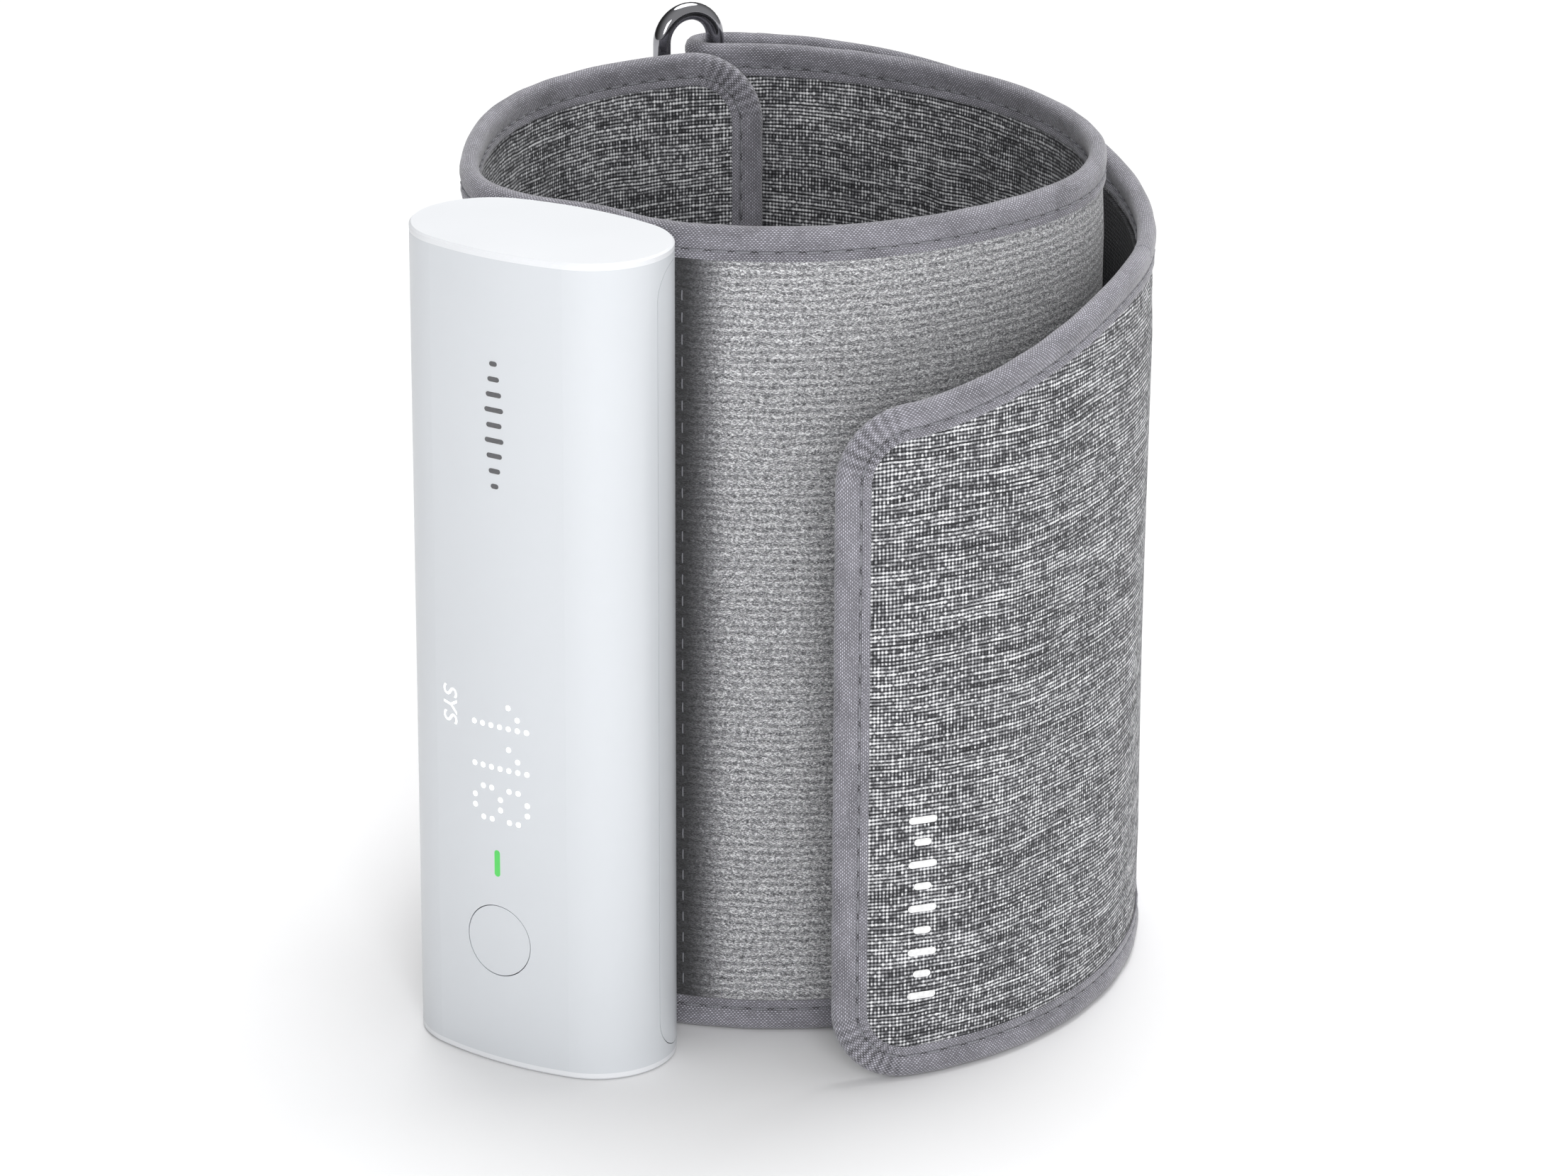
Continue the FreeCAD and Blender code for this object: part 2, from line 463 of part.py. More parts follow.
class StripPath:
    """The middle line of the cuff strip in plan: round the arm, round the ring's free bar, and back outside."""

    def __init__(self):
        loop = spline(LOOP_PLAN)
        wrap = spline(WRAP_PLAN)
        left = RING_FREE_BAR - Vector(FOLD_RADIUS, 0, 0)
        fold = Part.Arc(LOOP_PLAN[-1], left, WRAP_PLAN[0])
        self.curves = [loop, fold, wrap]
        self.lengths = [c.length() for c in self.curves]
        self.loop_end = self.lengths[0]
        self.fold_end = sum(self.lengths[:2])
        self.total = sum(self.lengths)

    def frame(self, s):
        """The point at s and the unit vector across the strip there, towards the pile side."""
        for curve, length in zip(self.curves, self.lengths):
            if s <= length or curve is self.curves[-1]:
                t = curve.parameterAtDistance(min(max(s, 0.0), length), curve.FirstParameter)
                along = Vector(*curve.tangent(t)[0])
                return curve.value(t), Vector(along.y, -along.x, 0).normalize()
            s -= length

    def at(self, s, d, z):
        point, across = self.frame(s)
        return point + across * d + Vector(0, 0, z)

    def edges(self, s):
        """The strip's lower and upper edge at s before its ends are rounded."""
        rise = smooth((s - self.loop_end + RISE_LENGTH) / RISE_LENGTH)
        if s <= self.fold_end:
            return FOLD_Z[0] * rise, TUBE_HEIGHT - (TUBE_HEIGHT - FOLD_Z[1]) * rise
        along = (s - self.fold_end) / (self.total - self.fold_end)
        end_drop = FOLD_Z[1] - FLAP_DROP - END_CORNER_TOP
        high = FOLD_Z[1] - FLAP_DROP * smooth(along / 0.62) - end_drop * smooth((along - 0.66) / 0.34)
        return FOLD_Z[0] * (1 - smooth(along / 0.35)), high

    def heights(self, s, inset=0.0):
        """The strip's lower and upper edge at s, with its rounded ends, moved in by inset all round."""
        low, high = self.edges(min(max(s, CORNER_RADIUS), self.total - CORNER_RADIUS))
        corner = CORNER_RADIUS - inset
        from_end = min(s, self.total - s) - inset
        drop = 0.0
        if from_end < corner:
            reach = corner - max(from_end, 0.0)
            drop = corner - math.sqrt(max(corner * corner - reach * reach, 0.0))
        return low + inset + drop, high - inset - drop

    def stations(self, start, end, inset=0.0):
        """Places along the strip, close together round the fold and at the rounded ends."""
        corner = CORNER_RADIUS - inset
        marks = {start, end}
        for k in range(1, 7):
            reach = corner * (1 - math.cos(math.radians(15 * k)))
            marks |= {inset + corner - corner * math.sin(math.radians(15 * (6 - k))), self.total - inset - reach}
        for reach in (inset + corner + 1.2, inset + corner + 3.6):
            marks |= {reach, self.total - reach}
        fold_steps = 8
        for k in range(fold_steps + 1):
            marks.add(self.loop_end + (self.fold_end - self.loop_end) * k / fold_steps)
        count = int(self.total / STATION_SPACING)
        for k in range(count + 1):
            marks.add(self.total * k / count)
        kept, near = [start], 0.9
        for s in sorted(m for m in marks if start < m < end):
            if s - kept[-1] > near and end - s > near:
                kept.append(s)
        return kept + [end]


def strip_solid(path, across, start, end, inset=0.0):
    """A solid band between two distances across the strip, two places along it and the inset edges."""
    stations = path.stations(start, end, inset)
    rails = []
    for d, side in ((across[0], 0), (across[0], 1), (across[1], 1), (across[1], 0)):
        points = [path.at(s, d, path.heights(s, inset)[side]) for s in stations]
        rails.append(rail_curve(points, stations))
    return closed_tube(rails)


def rail_curve(points, places):
    curve = Part.BSplineCurve()
    curve.interpolate(Points=points, Parameters=[float(place) for place in places])
    return curve


def ruled_face(one, two):
    """The straight-ruled face between two rails that share their knots."""
    surface = Part.BSplineSurface()
    surface.buildFromPolesMultsKnots(
        [one.getPoles(), two.getPoles()], [2, 2], one.getMultiplicities(),
        [0.0, 1.0], one.getKnots(), False, False, 1, one.Degree,
    )
    return surface.toShape()


def closed_tube(rails):
    """A solid whose sides are ruled between neighbouring rails, with a flat face at each end."""
    faces = [ruled_face(one, two) for one, two in zip(rails, rails[1:] + rails[:1])]
    for last in (False, True):
        corners = [r.value(r.LastParameter if last else r.FirstParameter) for r in rails]
        faces.append(Part.Face(Part.makePolygon(corners + corners[:1])))
    shell = Part.makeShell(faces)
    shell.sewShape(1e-4)
    solid = Part.makeSolid(shell.Shells[0])
    if solid.Volume < 0:
        solid.reverse()
    return solid


def edge_marks(path, start, end, up):
    """Marks along the upper or lower edge: the centre of an edge circle and the way out from it."""
    places = [s for s in path.stations(start, end) if CORNER_RADIUS <= s <= path.total - CORNER_RADIUS]
    step = -CORNER_RADIUS if up else CORNER_RADIUS
    side = 1 if up else 0
    return [(s, path.edges(s)[side] + step, 0.0, 1.0 if up else -1.0) for s in places]


def end_marks(path, s, outward):
    """Marks round one end of the strip, from its lower corner to its upper corner."""
    centre = s - outward * CORNER_RADIUS
    low, high = path.edges(centre)
    marks = []
    steps = 9
    for k in range(1, steps + 1):
        turn = math.pi / 2 * k / steps
        marks.append((centre, low + CORNER_RADIUS, outward * math.sin(turn), -math.cos(turn)))
    bottom, top = low + CORNER_RADIUS, high - CORNER_RADIUS
    rows = 6
    inner = [bottom + (top - bottom) * k / rows for k in range(1, rows)]
    for z in [bottom + 1.2, bottom + 3.6] + inner + [top - 3.6, top - 1.2]:
        marks.append((centre, z, outward * 1.0, 0.0))
    for k in range(steps, 0, -1):
        turn = math.pi / 2 * k / steps
        marks.append((centre, high - CORNER_RADIUS, outward * math.sin(turn), math.cos(turn)))
    return marks


def folded_tape(path, marks):
    """A tape folded over the strip's edge, following the marks: a U-shaped section with both legs flat on it."""
    places = [0.0]
    for (s, z, us, uz), (s2, z2, us2, uz2) in zip(marks, marks[1:]):
        along = s2 - s + CORNER_RADIUS * (us2 - us)
        up = z2 - z + CORNER_RADIUS * (uz2 - uz)
        places.append(places[-1] + math.hypot(along, up))
    leg, cloth = CORE_HALF + TAPE_GAP, BINDING_CLOTH
    section = [
        (BINDING_HALF, 0), (BINDING_HALF, BINDING_WIDTH), (leg, BINDING_WIDTH), (leg, cloth),
        (-leg, cloth), (-leg, BINDING_WIDTH), (-BINDING_HALF, BINDING_WIDTH), (-BINDING_HALF, 0),
    ]
    rails = []
    for d, inset in section:
        reach = CORNER_RADIUS - inset
        points = [path.at(s + reach * us, d, z + reach * uz) for s, z, us, uz in marks]
        rails.append(rail_curve(points, places))
    return closed_tube(rails)


def binding_solids(path, start, end, at_start, at_end):
    top, bottom = edge_marks(path, start, end, True), edge_marks(path, start, end, False)
    if at_start:
        return [folded_tape(path, bottom[::-1] + end_marks(path, 0.0, -1) + top)]
    if at_end:
        return [folded_tape(path, bottom + end_marks(path, path.total, 1) + top[::-1])]
    return [folded_tape(path, top), folded_tape(path, bottom)]


def hinge_point(path, s):
    """The plan point on the lining side where a fold of the strip at s turns."""
    return path.at(s, -BINDING_HALF, 0)


def make_cuff(path):
    first_joint = path.fold_end + 16.0
    second_joint = path.fold_end + (path.total - path.fold_end) * FLAP_START
    half_gap = JOINT_GAP / 2
    edge = BINDING_CLOTH + 2 * TAPE_GAP
    start, end = edge, path.total - edge
    spans = {
        "loop": (start, first_joint - half_gap),
        "wrap": (first_joint + half_gap, second_joint - half_gap),
        "flap": (second_joint + half_gap, end),
    }
    nozzle_end = (0, TUBE_HALF_DEPTH + CUFF_STANDOFF + 0.08, NOZZLE_Z)
    nozzle = in_plan(rod(NOZZLE_RADIUS + 0.08, (0, 10, NOZZLE_Z), nozzle_end))
    for name, (a, b) in spans.items():
        write("lining_" + name, strip_solid(path, LINING_D, a, b, edge))
        pile = strip_solid(path, PILE_D, a, b, edge)
        if name == "loop":
            pile = pile.cut(nozzle)
        write("pile_" + name, pile)
        tape = binding_solids(path, 0.0 if name == "loop" else a, path.total if name == "flap" else b,
                              name == "loop", name == "flap")
        write("binding_" + name, Part.makeCompound(tape))
    patch_inset = BINDING_WIDTH + 1
    wrap_patch = (second_joint - HOOK_LENGTH, second_joint - half_gap)
    flap_patch = (second_joint + half_gap, path.total - patch_inset)
    write("hook_patch_wrap", strip_solid(path, HOOK_D, *wrap_patch, patch_inset))
    write("hook_patch_flap", strip_solid(path, HOOK_D, *flap_patch, patch_inset))
    tube_at = nearest(path, tube_back(0, CUFF_STANDOFF))
    sheet = strip_solid(path, STIFFENER_D, tube_at - 95, tube_at + 150, BINDING_WIDTH + 2)
    write("cuff_stiffener", sheet.cut(nozzle))
    write("air_bladder", strip_solid(path, BLADDER_D, tube_at - 70, tube_at + 130, BINDING_WIDTH + 4))
    clamp = strip_solid(path, CLAMP_D, tube_at - CLAMP_HALF_WIDTH, tube_at + CLAMP_HALF_WIDTH, BINDING_WIDTH + 6)
    clamp = clamp.cut(in_plan(rod(NOZZLE_RADIUS + 0.08, (0, 10, NOZZLE_Z), (0, 25, NOZZLE_Z))))
    screws = []
    for z in CLAMP_SCREW_Z:
        head_y = TUBE_HALF_DEPTH - TUBE_WALL - 0.1
        head = rod(1.9, (0, head_y - 1.3, z), (0, head_y, z))
        shank_end = TUBE_HALF_DEPTH + CUFF_STANDOFF - CLAMP_D[0] - 0.15
        screws.append(in_plan(head.fuse(rod(CLAMP_SCREW_RADIUS, (0, head_y, z), (0, shank_end, z)))))
        clamp = clamp.cut(in_plan(rod(CLAMP_SCREW_RADIUS + 0.02, (0, 10, z), (0, shank_end + 0.02, z))))
    write("clamp_plate", clamp)
    write("clamp_screws", Part.makeCompound([s for shape in screws for s in shape.Solids]))
    for name, s in (("wrap", first_joint), ("flap", second_joint)):
        place = hinge_point(path, s) + PLAN_SHIFT
        print("hinge", name, round(place.x, 3), round(place.y, 3))


def nearest(path, point):
    """The place along the loop nearest to a plan point."""
    steps = int(path.loop_end)
    return min(range(steps), key=lambda s: (path.frame(s)[0] - point).Length)


# ---------------------------------------------------------------- ring and sleeve


def make_ring():
    """A long closed loop of round wire, standing upright: two bars and two half-round ends."""
    across = RING_FREE_BAR - RING_HELD_BAR
    low, high = RING_STRAIGHT_Z
    a0, a1 = RING_HELD_BAR + Vector(0, 0, low), RING_HELD_BAR + Vector(0, 0, high)
    b0, b1 = RING_FREE_BAR + Vector(0, 0, low), RING_FREE_BAR + Vector(0, 0, high)
    middle = (RING_FREE_BAR + RING_HELD_BAR) * 0.5
    reach = across.Length / 2
    wire = Part.Wire([
        Part.LineSegment(a0, a1).toShape(),
        Part.Arc(a1, middle + Vector(0, 0, high + reach), b1).toShape(),
        Part.LineSegment(b1, b0).toShape(),
        Part.Arc(b0, middle + Vector(0, 0, low - reach), a0).toShape(),
    ])
    profile = Part.Wire(Part.Circle(a0, Vector(0, 0, 1), RING_WIRE).toShape())
    sweep = Part.BRepOffsetAPI.MakePipeShell(wire)
    sweep.add(profile)
    sweep.setTransitionMode(0)
    sweep.build()
    sweep.makeSolid()
    write("metal_ring", sweep.shape())


def make_sleeve(path):
    """A strip of cloth round the ring's held bar, both ends sewn flat on the strip's outer face."""
    bore = RING_WIRE + SLEEVE_CLEARANCE
    outer = bore + SLEEVE_CLOTH
    seam = nearest(path, Vector(-40.0, 66.0, 0))
    landing = path.at(seam, BINDING_HALF, 0)
    _, out = path.frame(seam)
    reach = landing - RING_HELD_BAR
    side = Vector(-reach.y, reach.x, 0).normalize() * (SLEEVE_CLOTH * 0.9)
    low, high = SLEEVE_Z
    tall = Vector(0, 0, high - low)
    base = Vector(0, 0, low)
    tail_end = landing + out * 0.1
    tail = Part.Face(Part.makePolygon([
        RING_HELD_BAR + side + base, RING_HELD_BAR - side + base, tail_end - side * 0.9 + base,
        tail_end + side * 0.9 + base, RING_HELD_BAR + side + base,
    ]))
    sewn, clear = 9.0, 30.0
    patch = level_face(path, (BINDING_HALF + 0.05, BINDING_HALF + 0.05 + SLEEVE_CLOTH), seam - sewn, seam + sewn, low)
    keep_off = level_face(path, (-BINDING_HALF, BINDING_HALF + 0.05), seam - clear, seam + clear, low)
    eye = disc(outer, RING_HELD_BAR + base)
    section = eye.fuse([tail, patch]).cut([disc(bore, RING_HELD_BAR + base), keep_off]).removeSplitter()
    write("ring_sleeve", max(section.Faces, key=lambda face: face.Area).extrude(tall))


def disc(radius, centre):
    return Part.Face(Part.Wire(Part.Circle(centre, Vector(0, 0, 1), radius).toShape()))


def level_face(path, across, start, end, z):
    """A flat face at one height that follows the strip between two distances across it."""
    steps = 12
    places = [start + (end - start) * k / steps for k in range(steps + 1)]
    near, far = ([path.at(s, d, z) for s in places] for d in across)
    edges = [
        rail_curve(near, places).toShape(),
        Part.LineSegment(near[-1], far[-1]).toShape(),
        rail_curve(far[::-1], places).toShape(),
        Part.LineSegment(far[0], near[0]).toShape(),
    ]
    return Part.Face(Part.Wire(edges))


os.makedirs("parts", exist_ok=True)
strip = StripPath()
make_housing()
make_button()
make_display()
make_boards()
make_power()
make_pump()
make_valve()
make_air()
make_ring()
make_sleeve(strip)
make_cuff(strip)
held = RING_HELD_BAR + PLAN_SHIFT
print("ring hinge", round(held.x, 3), round(held.y, 3), "nodes", len(written), "strip length", round(strip.total, 1))
print("loop", round(strip.loop_end, 1), "fold", round(strip.fold_end, 1))
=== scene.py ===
"""Looks of the upper-arm blood pressure monitor: satin tube, dot display, woven cuff with taped edges.

Lengths are in millimetres until a mesh is written, and MM turns them into metres. A place on the cuff strip
is (s, d, z): s along the strip from its inner end, d across it (plus on the pile side, minus on the lining
side) and z up. Every cloth vertex keeps its flat place in the attribute "cloth", which the weaves are drawn
from, with how much the cloth is gathered there as the third number.
"""

import json
import math

import bmesh
import bpy
import numpy as np
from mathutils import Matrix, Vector
from mathutils.bvhtree import BVHTree


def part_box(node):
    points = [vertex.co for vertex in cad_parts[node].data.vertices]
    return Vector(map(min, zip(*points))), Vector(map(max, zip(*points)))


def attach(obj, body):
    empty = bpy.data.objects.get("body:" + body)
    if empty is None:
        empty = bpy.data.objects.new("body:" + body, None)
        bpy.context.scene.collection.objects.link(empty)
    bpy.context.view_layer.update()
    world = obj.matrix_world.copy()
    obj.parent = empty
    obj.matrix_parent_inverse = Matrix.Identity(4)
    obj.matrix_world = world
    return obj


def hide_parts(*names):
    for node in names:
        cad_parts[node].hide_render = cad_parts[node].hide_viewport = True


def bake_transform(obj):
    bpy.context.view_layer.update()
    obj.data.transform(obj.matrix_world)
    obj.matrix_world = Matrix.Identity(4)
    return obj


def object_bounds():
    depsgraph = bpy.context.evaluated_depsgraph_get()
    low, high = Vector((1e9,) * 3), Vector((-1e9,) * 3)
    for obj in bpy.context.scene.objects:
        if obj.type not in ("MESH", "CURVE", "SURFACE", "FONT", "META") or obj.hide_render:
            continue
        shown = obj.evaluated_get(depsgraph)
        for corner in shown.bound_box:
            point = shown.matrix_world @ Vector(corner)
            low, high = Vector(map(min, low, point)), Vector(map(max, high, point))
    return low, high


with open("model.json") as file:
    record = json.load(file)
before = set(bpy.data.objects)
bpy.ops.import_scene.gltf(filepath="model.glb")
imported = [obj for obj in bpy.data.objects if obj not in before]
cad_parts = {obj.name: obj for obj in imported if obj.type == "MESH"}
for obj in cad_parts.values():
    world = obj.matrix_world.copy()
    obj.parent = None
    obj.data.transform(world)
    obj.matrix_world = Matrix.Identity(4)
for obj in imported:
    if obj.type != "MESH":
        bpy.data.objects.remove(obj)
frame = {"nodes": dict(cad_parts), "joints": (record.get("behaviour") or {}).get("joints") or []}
cad_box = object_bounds()

MM = 0.001

# ---- Tube
TUBE_HALF_WIDTH = 24.6
TUBE_HALF_DEPTH = 15.2
TUBE_END_RADIUS = 14.0
TUBE_TURN = math.radians(-33.0)
TUBE_CENTRE = np.array([-40.4, -36.3])
CUFF_STANDOFF = 2.3

# ---- Cuff strip, laid out about the arm axis as in the CAD
PLAN_SHIFT = np.array([-2.21, -20.45])
LOOP_START = (
    (-3.0, 81.5), (-18.0, 78.6), (-33.2, 69.8), (-44.8, 56.6), (-52.2, 38.6),
    (-54.8, 17.0), (-54.2, 2.0), (-50.0, -8.6),
)
LOOP_REST = (
    (-10.5, -32.7), (2.0, -33.7), (20.0, -29.6), (38.9, -17.4), (52.4, -0.9), (57.2, 18.0),
    (53.6, 39.3), (42.4, 59.8), (24.0, 77.6), (9.0, 86.2), (-2.0, 89.4),
)
WRAP_REST = (
    (3.0, 97.3), (20.5, 92.6), (39.0, 81.3), (53.7, 64.5), (62.9, 43.6), (66.1, 22.0), (64.6, 1.4),
    (58.4, -18.2), (47.8, -35.2), (33.8, -47.9), (20.0, -54.6), (9.8, -57.3),
)
FREE_BAR = np.array([-12.2, 94.0])
HELD_BAR = np.array([-22.2, 88.4])
RING_WIRE = 1.7
FOLD_RADIUS = 4.0
STRIP_WIDTH = 150.0
FOLD_Z = (7.6, 149.0)
RISE_LENGTH = 75.0
FLAP_DROP = 12.5
END_CORNER_TOP = 124.0
CORNER = 14.0
LINING_D = (-1.05, -0.55)
PILE_D = (0.4, 1.05)
HOOK_D = (1.1, 1.9)
CLOTH_EDGE = 0.55
TAPE_WIDTH = 6.0
TAPE_HALF = 1.5
STITCH_INSET = 4.3
STITCH_PITCH = 4.0
FIRST_JOINT = 16.0
FLAP_SHARE = 0.665
BEND = 8.0
HOOK_LENGTH = 62.0
HOOK_LIFT = 0.02
CLOTH_STEP = 1.5
TAPE_STEP = 0.8
HOOK_STEP = 2.0

# ---- Weaves: pitches along and across the strip
WEAVE_PITCH = (0.67, 0.68)
TAPE_PITCH = (0.62, 0.33)
RIB_PITCH = 1.53
# How far the painted shade beside the tube's seams reaches on the pile, in millimetres.
SEAM_SHADE_REACH = 9.0

# ---- Marks on the tube's face: x across the face, z up
DOT_ROWS = (
    "..#...#..##.",
    ".##..##.#..#",
    "#.#.#.#.#..#",
    "..#...#..##.",
    "..#...#.#..#",
    "..#...#.#..#",
    "..#...#..##.",
)
DOT_PITCH = (1.83, 1.95)
DOT_TOP = (6.35, 68.0)
DOT_RADIUS = 0.5
LABEL_FOOT = (-11.8, 69.6)
LABEL_SIZE = 4.6
PRINT_LIFT = 0.03
LEVEL_BARS = (1.6, 2.4, 3.2, 3.9, 3.2, 3.9, 3.2, 2.4, 1.6)
LEVEL_TOP = (0.5, 130.2)
LEVEL_PITCH = 2.75
LEVEL_BAR_WIDTH = 0.9

# ---- Marks on the flap: bars long and short in turn, up from the lowest
INDEX_BARS = (5.2, 3.2) * 4 + (5.2,)
INDEX_FROM_END = 16.0
INDEX_FOOT = 15.6
INDEX_PITCH = 4.15
INDEX_BAR_WIDTH = 1.3
INDEX_LIFT = 0.08


# ---------------------------------------------------------------- node materials


class Look:
    """A node material. Its methods add nodes and hand back their output sockets."""

    def __init__(self, name, colour=(0.5, 0.5, 0.5), roughness=0.5, **sockets):
        self.material = bpy.data.materials.new(name)
        self.material.use_nodes = True
        self.tree = self.material.node_tree
        self.shader = next(n for n in self.tree.nodes if n.type == "BSDF_PRINCIPLED")
        self.set("Base Color", (*colour, 1.0))
        self.set("Roughness", roughness)
        for socket, value in sockets.items():
            self.set(socket.replace("_", " ").title().replace("Ior", "IOR"), value)

    def set(self, socket, value):
        self.feed(self.shader, socket, value)

    def feed(self, node, socket, value):
        if isinstance(value, bpy.types.NodeSocket):
            self.tree.links.new(value, node.inputs[socket])
        elif value is not None:
            node.inputs[socket].default_value = value

    def node(self, kind, output=0, settings=(), **inputs):
        made = self.tree.nodes.new("ShaderNode" + kind)
        for key, value in dict(settings).items():
            setattr(made, key, value)
        for socket, value in inputs.items():
            self.feed(made, int(socket[1:]) if socket[1:].isdigit() else socket, value)
        return made.outputs[output]

    def math(self, operation, a, b=None, c=None):
        return self.node("Math", settings={"operation": operation}, _0=a, _1=b, _2=c)

    def times(self, a, b):
        return self.math("MULTIPLY", a, b)

    def plus(self, a, b):
        return self.math("ADD", a, b)

    def minus(self, a, b):
        return self.math("SUBTRACT", a, b)

    def vector(self, x, y, z=0.0):
        return self.node("CombineXYZ", X=x, Y=y, Z=z)

    def noise(self, vector, scale=1.0, detail=2.0, rough=0.5, warp=0.0):
        return self.node(
            "TexNoise", Vector=vector, Scale=scale, Detail=detail, Roughness=rough, Distortion=warp
        )

    def ease(self, value, low, high, to_low=0.0, to_high=1.0):
        """value from low to high becomes to_low to to_high, smoothly and clipped."""
        settings = {"interpolation_type": "SMOOTHSTEP"}
        return self.node("MapRange", settings=settings, _0=value, _1=low, _2=high, _3=to_low, _4=to_high)

    def shades(self, value, *stops):
        """A colour ramp; each stop is (place, colour)."""
        output = self.node("ValToRGB", Fac=value)
        ramp = output.node.color_ramp
        while len(ramp.elements) < len(stops):
            ramp.elements.new(0.5)
        for element, (place, colour) in zip(ramp.elements, stops):
            element.position = place
            element.color = (*colour, 1.0)
        return output

    def greys(self, value, stops):
        """A ramp of greys; each stop is (place, level, cool)."""
        return self.shades(value, *((place, grey(level, cool)) for place, level, cool in stops))

    def bump(self, height, distance, strength=1.0):
        """Raises the surface by height times distance, in metres."""
        self.set("Normal", self.node("Bump", Strength=strength, Distance=distance, Height=height))

    def cloth_parts(self):
        """The three numbers of the attribute "cloth", in metres."""
        attribute = self.node("Attribute", output=1, settings={"attribute_name": "cloth"})
        return self.node("SeparateXYZ", Vector=attribute).node.outputs

    def flat_place(self, pitch_u, pitch_v):
        """The cloth's flat place, counted in pitches of pitch_u and pitch_v millimetres."""
        u, v, _ = self.cloth_parts()
        return self.math("DIVIDE", u, pitch_u * MM), self.math("DIVIDE", v, pitch_v * MM)

    def gathering(self):
        """How much the cloth is drawn together by a turn of its edge, from 0 to 1."""
        return self.math("DIVIDE", self.cloth_parts()[2], MM)

    def solid_place(self):
        return self.node("TexCoord", output=3)


def grey(level, cool=0.0):
    """A grey of that level, a little blue when cool is above 0."""
    return (level * (1 - 0.35 * cool), level * (1 - 0.3 * cool), level * (1 + 0.25 * cool))


def lavender(level):
    """The tape's grey, between blue and violet."""
    return (level * 0.985, level * 0.965, level * 1.09)


def melange_weave():
    """Coarse plain weave of white, grey and black slub yarns, with long thin dark and light weft streaks."""
    look = Look("melange_weave", roughness=0.95, sheen_weight=0.08, sheen_roughness=0.5)
    u, v = look.flat_place(*WEAVE_PITCH)
    slow = look.vector(look.times(u, 0.03), look.times(v, 0.03))
    sway = look.noise(slow, detail=3.0)
    v = look.plus(v, look.times(sway, 3.0))
    u = look.plus(u, look.times(look.noise(look.vector(u, v, 9.0), 0.6), 0.35))
    column, row = look.math("FLOOR", u), look.math("FLOOR", v)
    gap_row = look.math("FLOOR", look.plus(v, 0.5))
    warp_top, weft_top = yarn_profile(look, u), yarn_profile(look, v)
    hairs = look.noise(look.vector(u, v, 3.0), 3.2, 3.0, 0.75)
    crossing = look.node("TexWhiteNoise", Vector=look.vector(column, row))
    warp = look.ease(yarn_tone(look, v, column, 0.08, 60.0), 0.3, 0.65, 0.72, 1.0)
    warp = look.times(warp, look.math("MULTIPLY_ADD", crossing, 0.9, 0.38))
    weft = look.ease(yarn_tone(look, u, row, 0.05, 0.0), 0.33, 0.68, 0.1, 0.78)
    warp = look.times(warp, look.math("MULTIPLY_ADD", weft, 0.32, 0.82))
    raised = look.times(warp_top, look.math("MULTIPLY_ADD", weft_top, 0.6, 0.4))
    between = look.times(look.minus(1.0, warp_top), weft_top)
    tone = look.plus(look.times(raised, warp), look.times(between, weft))
    streak = yarn_tone(look, u, gap_row, 0.035, 200.0)
    thin = look.minus(1.0, look.times(weft_top, 2.2))
    dark = look.times(look.ease(streak, 0.52, 0.64), look.ease(thin, 0.0, 0.6))
    light = look.times(look.ease(yarn_tone(look, u, row, 0.05, 400.0), 0.54, 0.7), weft_top)
    tone = look.math("MULTIPLY_ADD", look.times(light, crossing), 0.18, tone)
    tone = look.times(tone, look.minus(1.0, look.times(dark, 0.7)))
    tone = look.math("MULTIPLY_ADD", tone, look.math("MULTIPLY_ADD", hairs, 2.0, 0.22), -0.1)
    stops = ((0.0, 0.012, 0.3), (0.22, 0.1, 0.15), (0.52, 0.4, 0.08), (1.0, 0.98, 0.03))
    look.set("Base Color", look.greys(tone, stops))
    look.bump(look.times(warp_top, weft_top), 0.12 * MM, 0.7)
    return look.material


def yarn_profile(look, place):
    """1 along the middle of each yarn and 0 between yarns."""
    wave = look.times(look.math("COSINE", look.times(place, 2 * math.pi)), -0.5)
    return look.plus(wave, 0.5)


def yarn_tone(look, along, lane, stretch, seed):
    """A tone that changes slowly along each yarn and differs from yarn to yarn."""
    settings = {"noise_dimensions": "1D"}
    own = look.node("TexWhiteNoise", settings=settings, W=look.plus(lane, seed + 0.5))
    place = look.math("MULTIPLY_ADD", own, 300.0, look.times(along, stretch))
    return look.noise(look.vector(place, look.times(own, 77.0), seed), detail=3.0, rough=0.6)


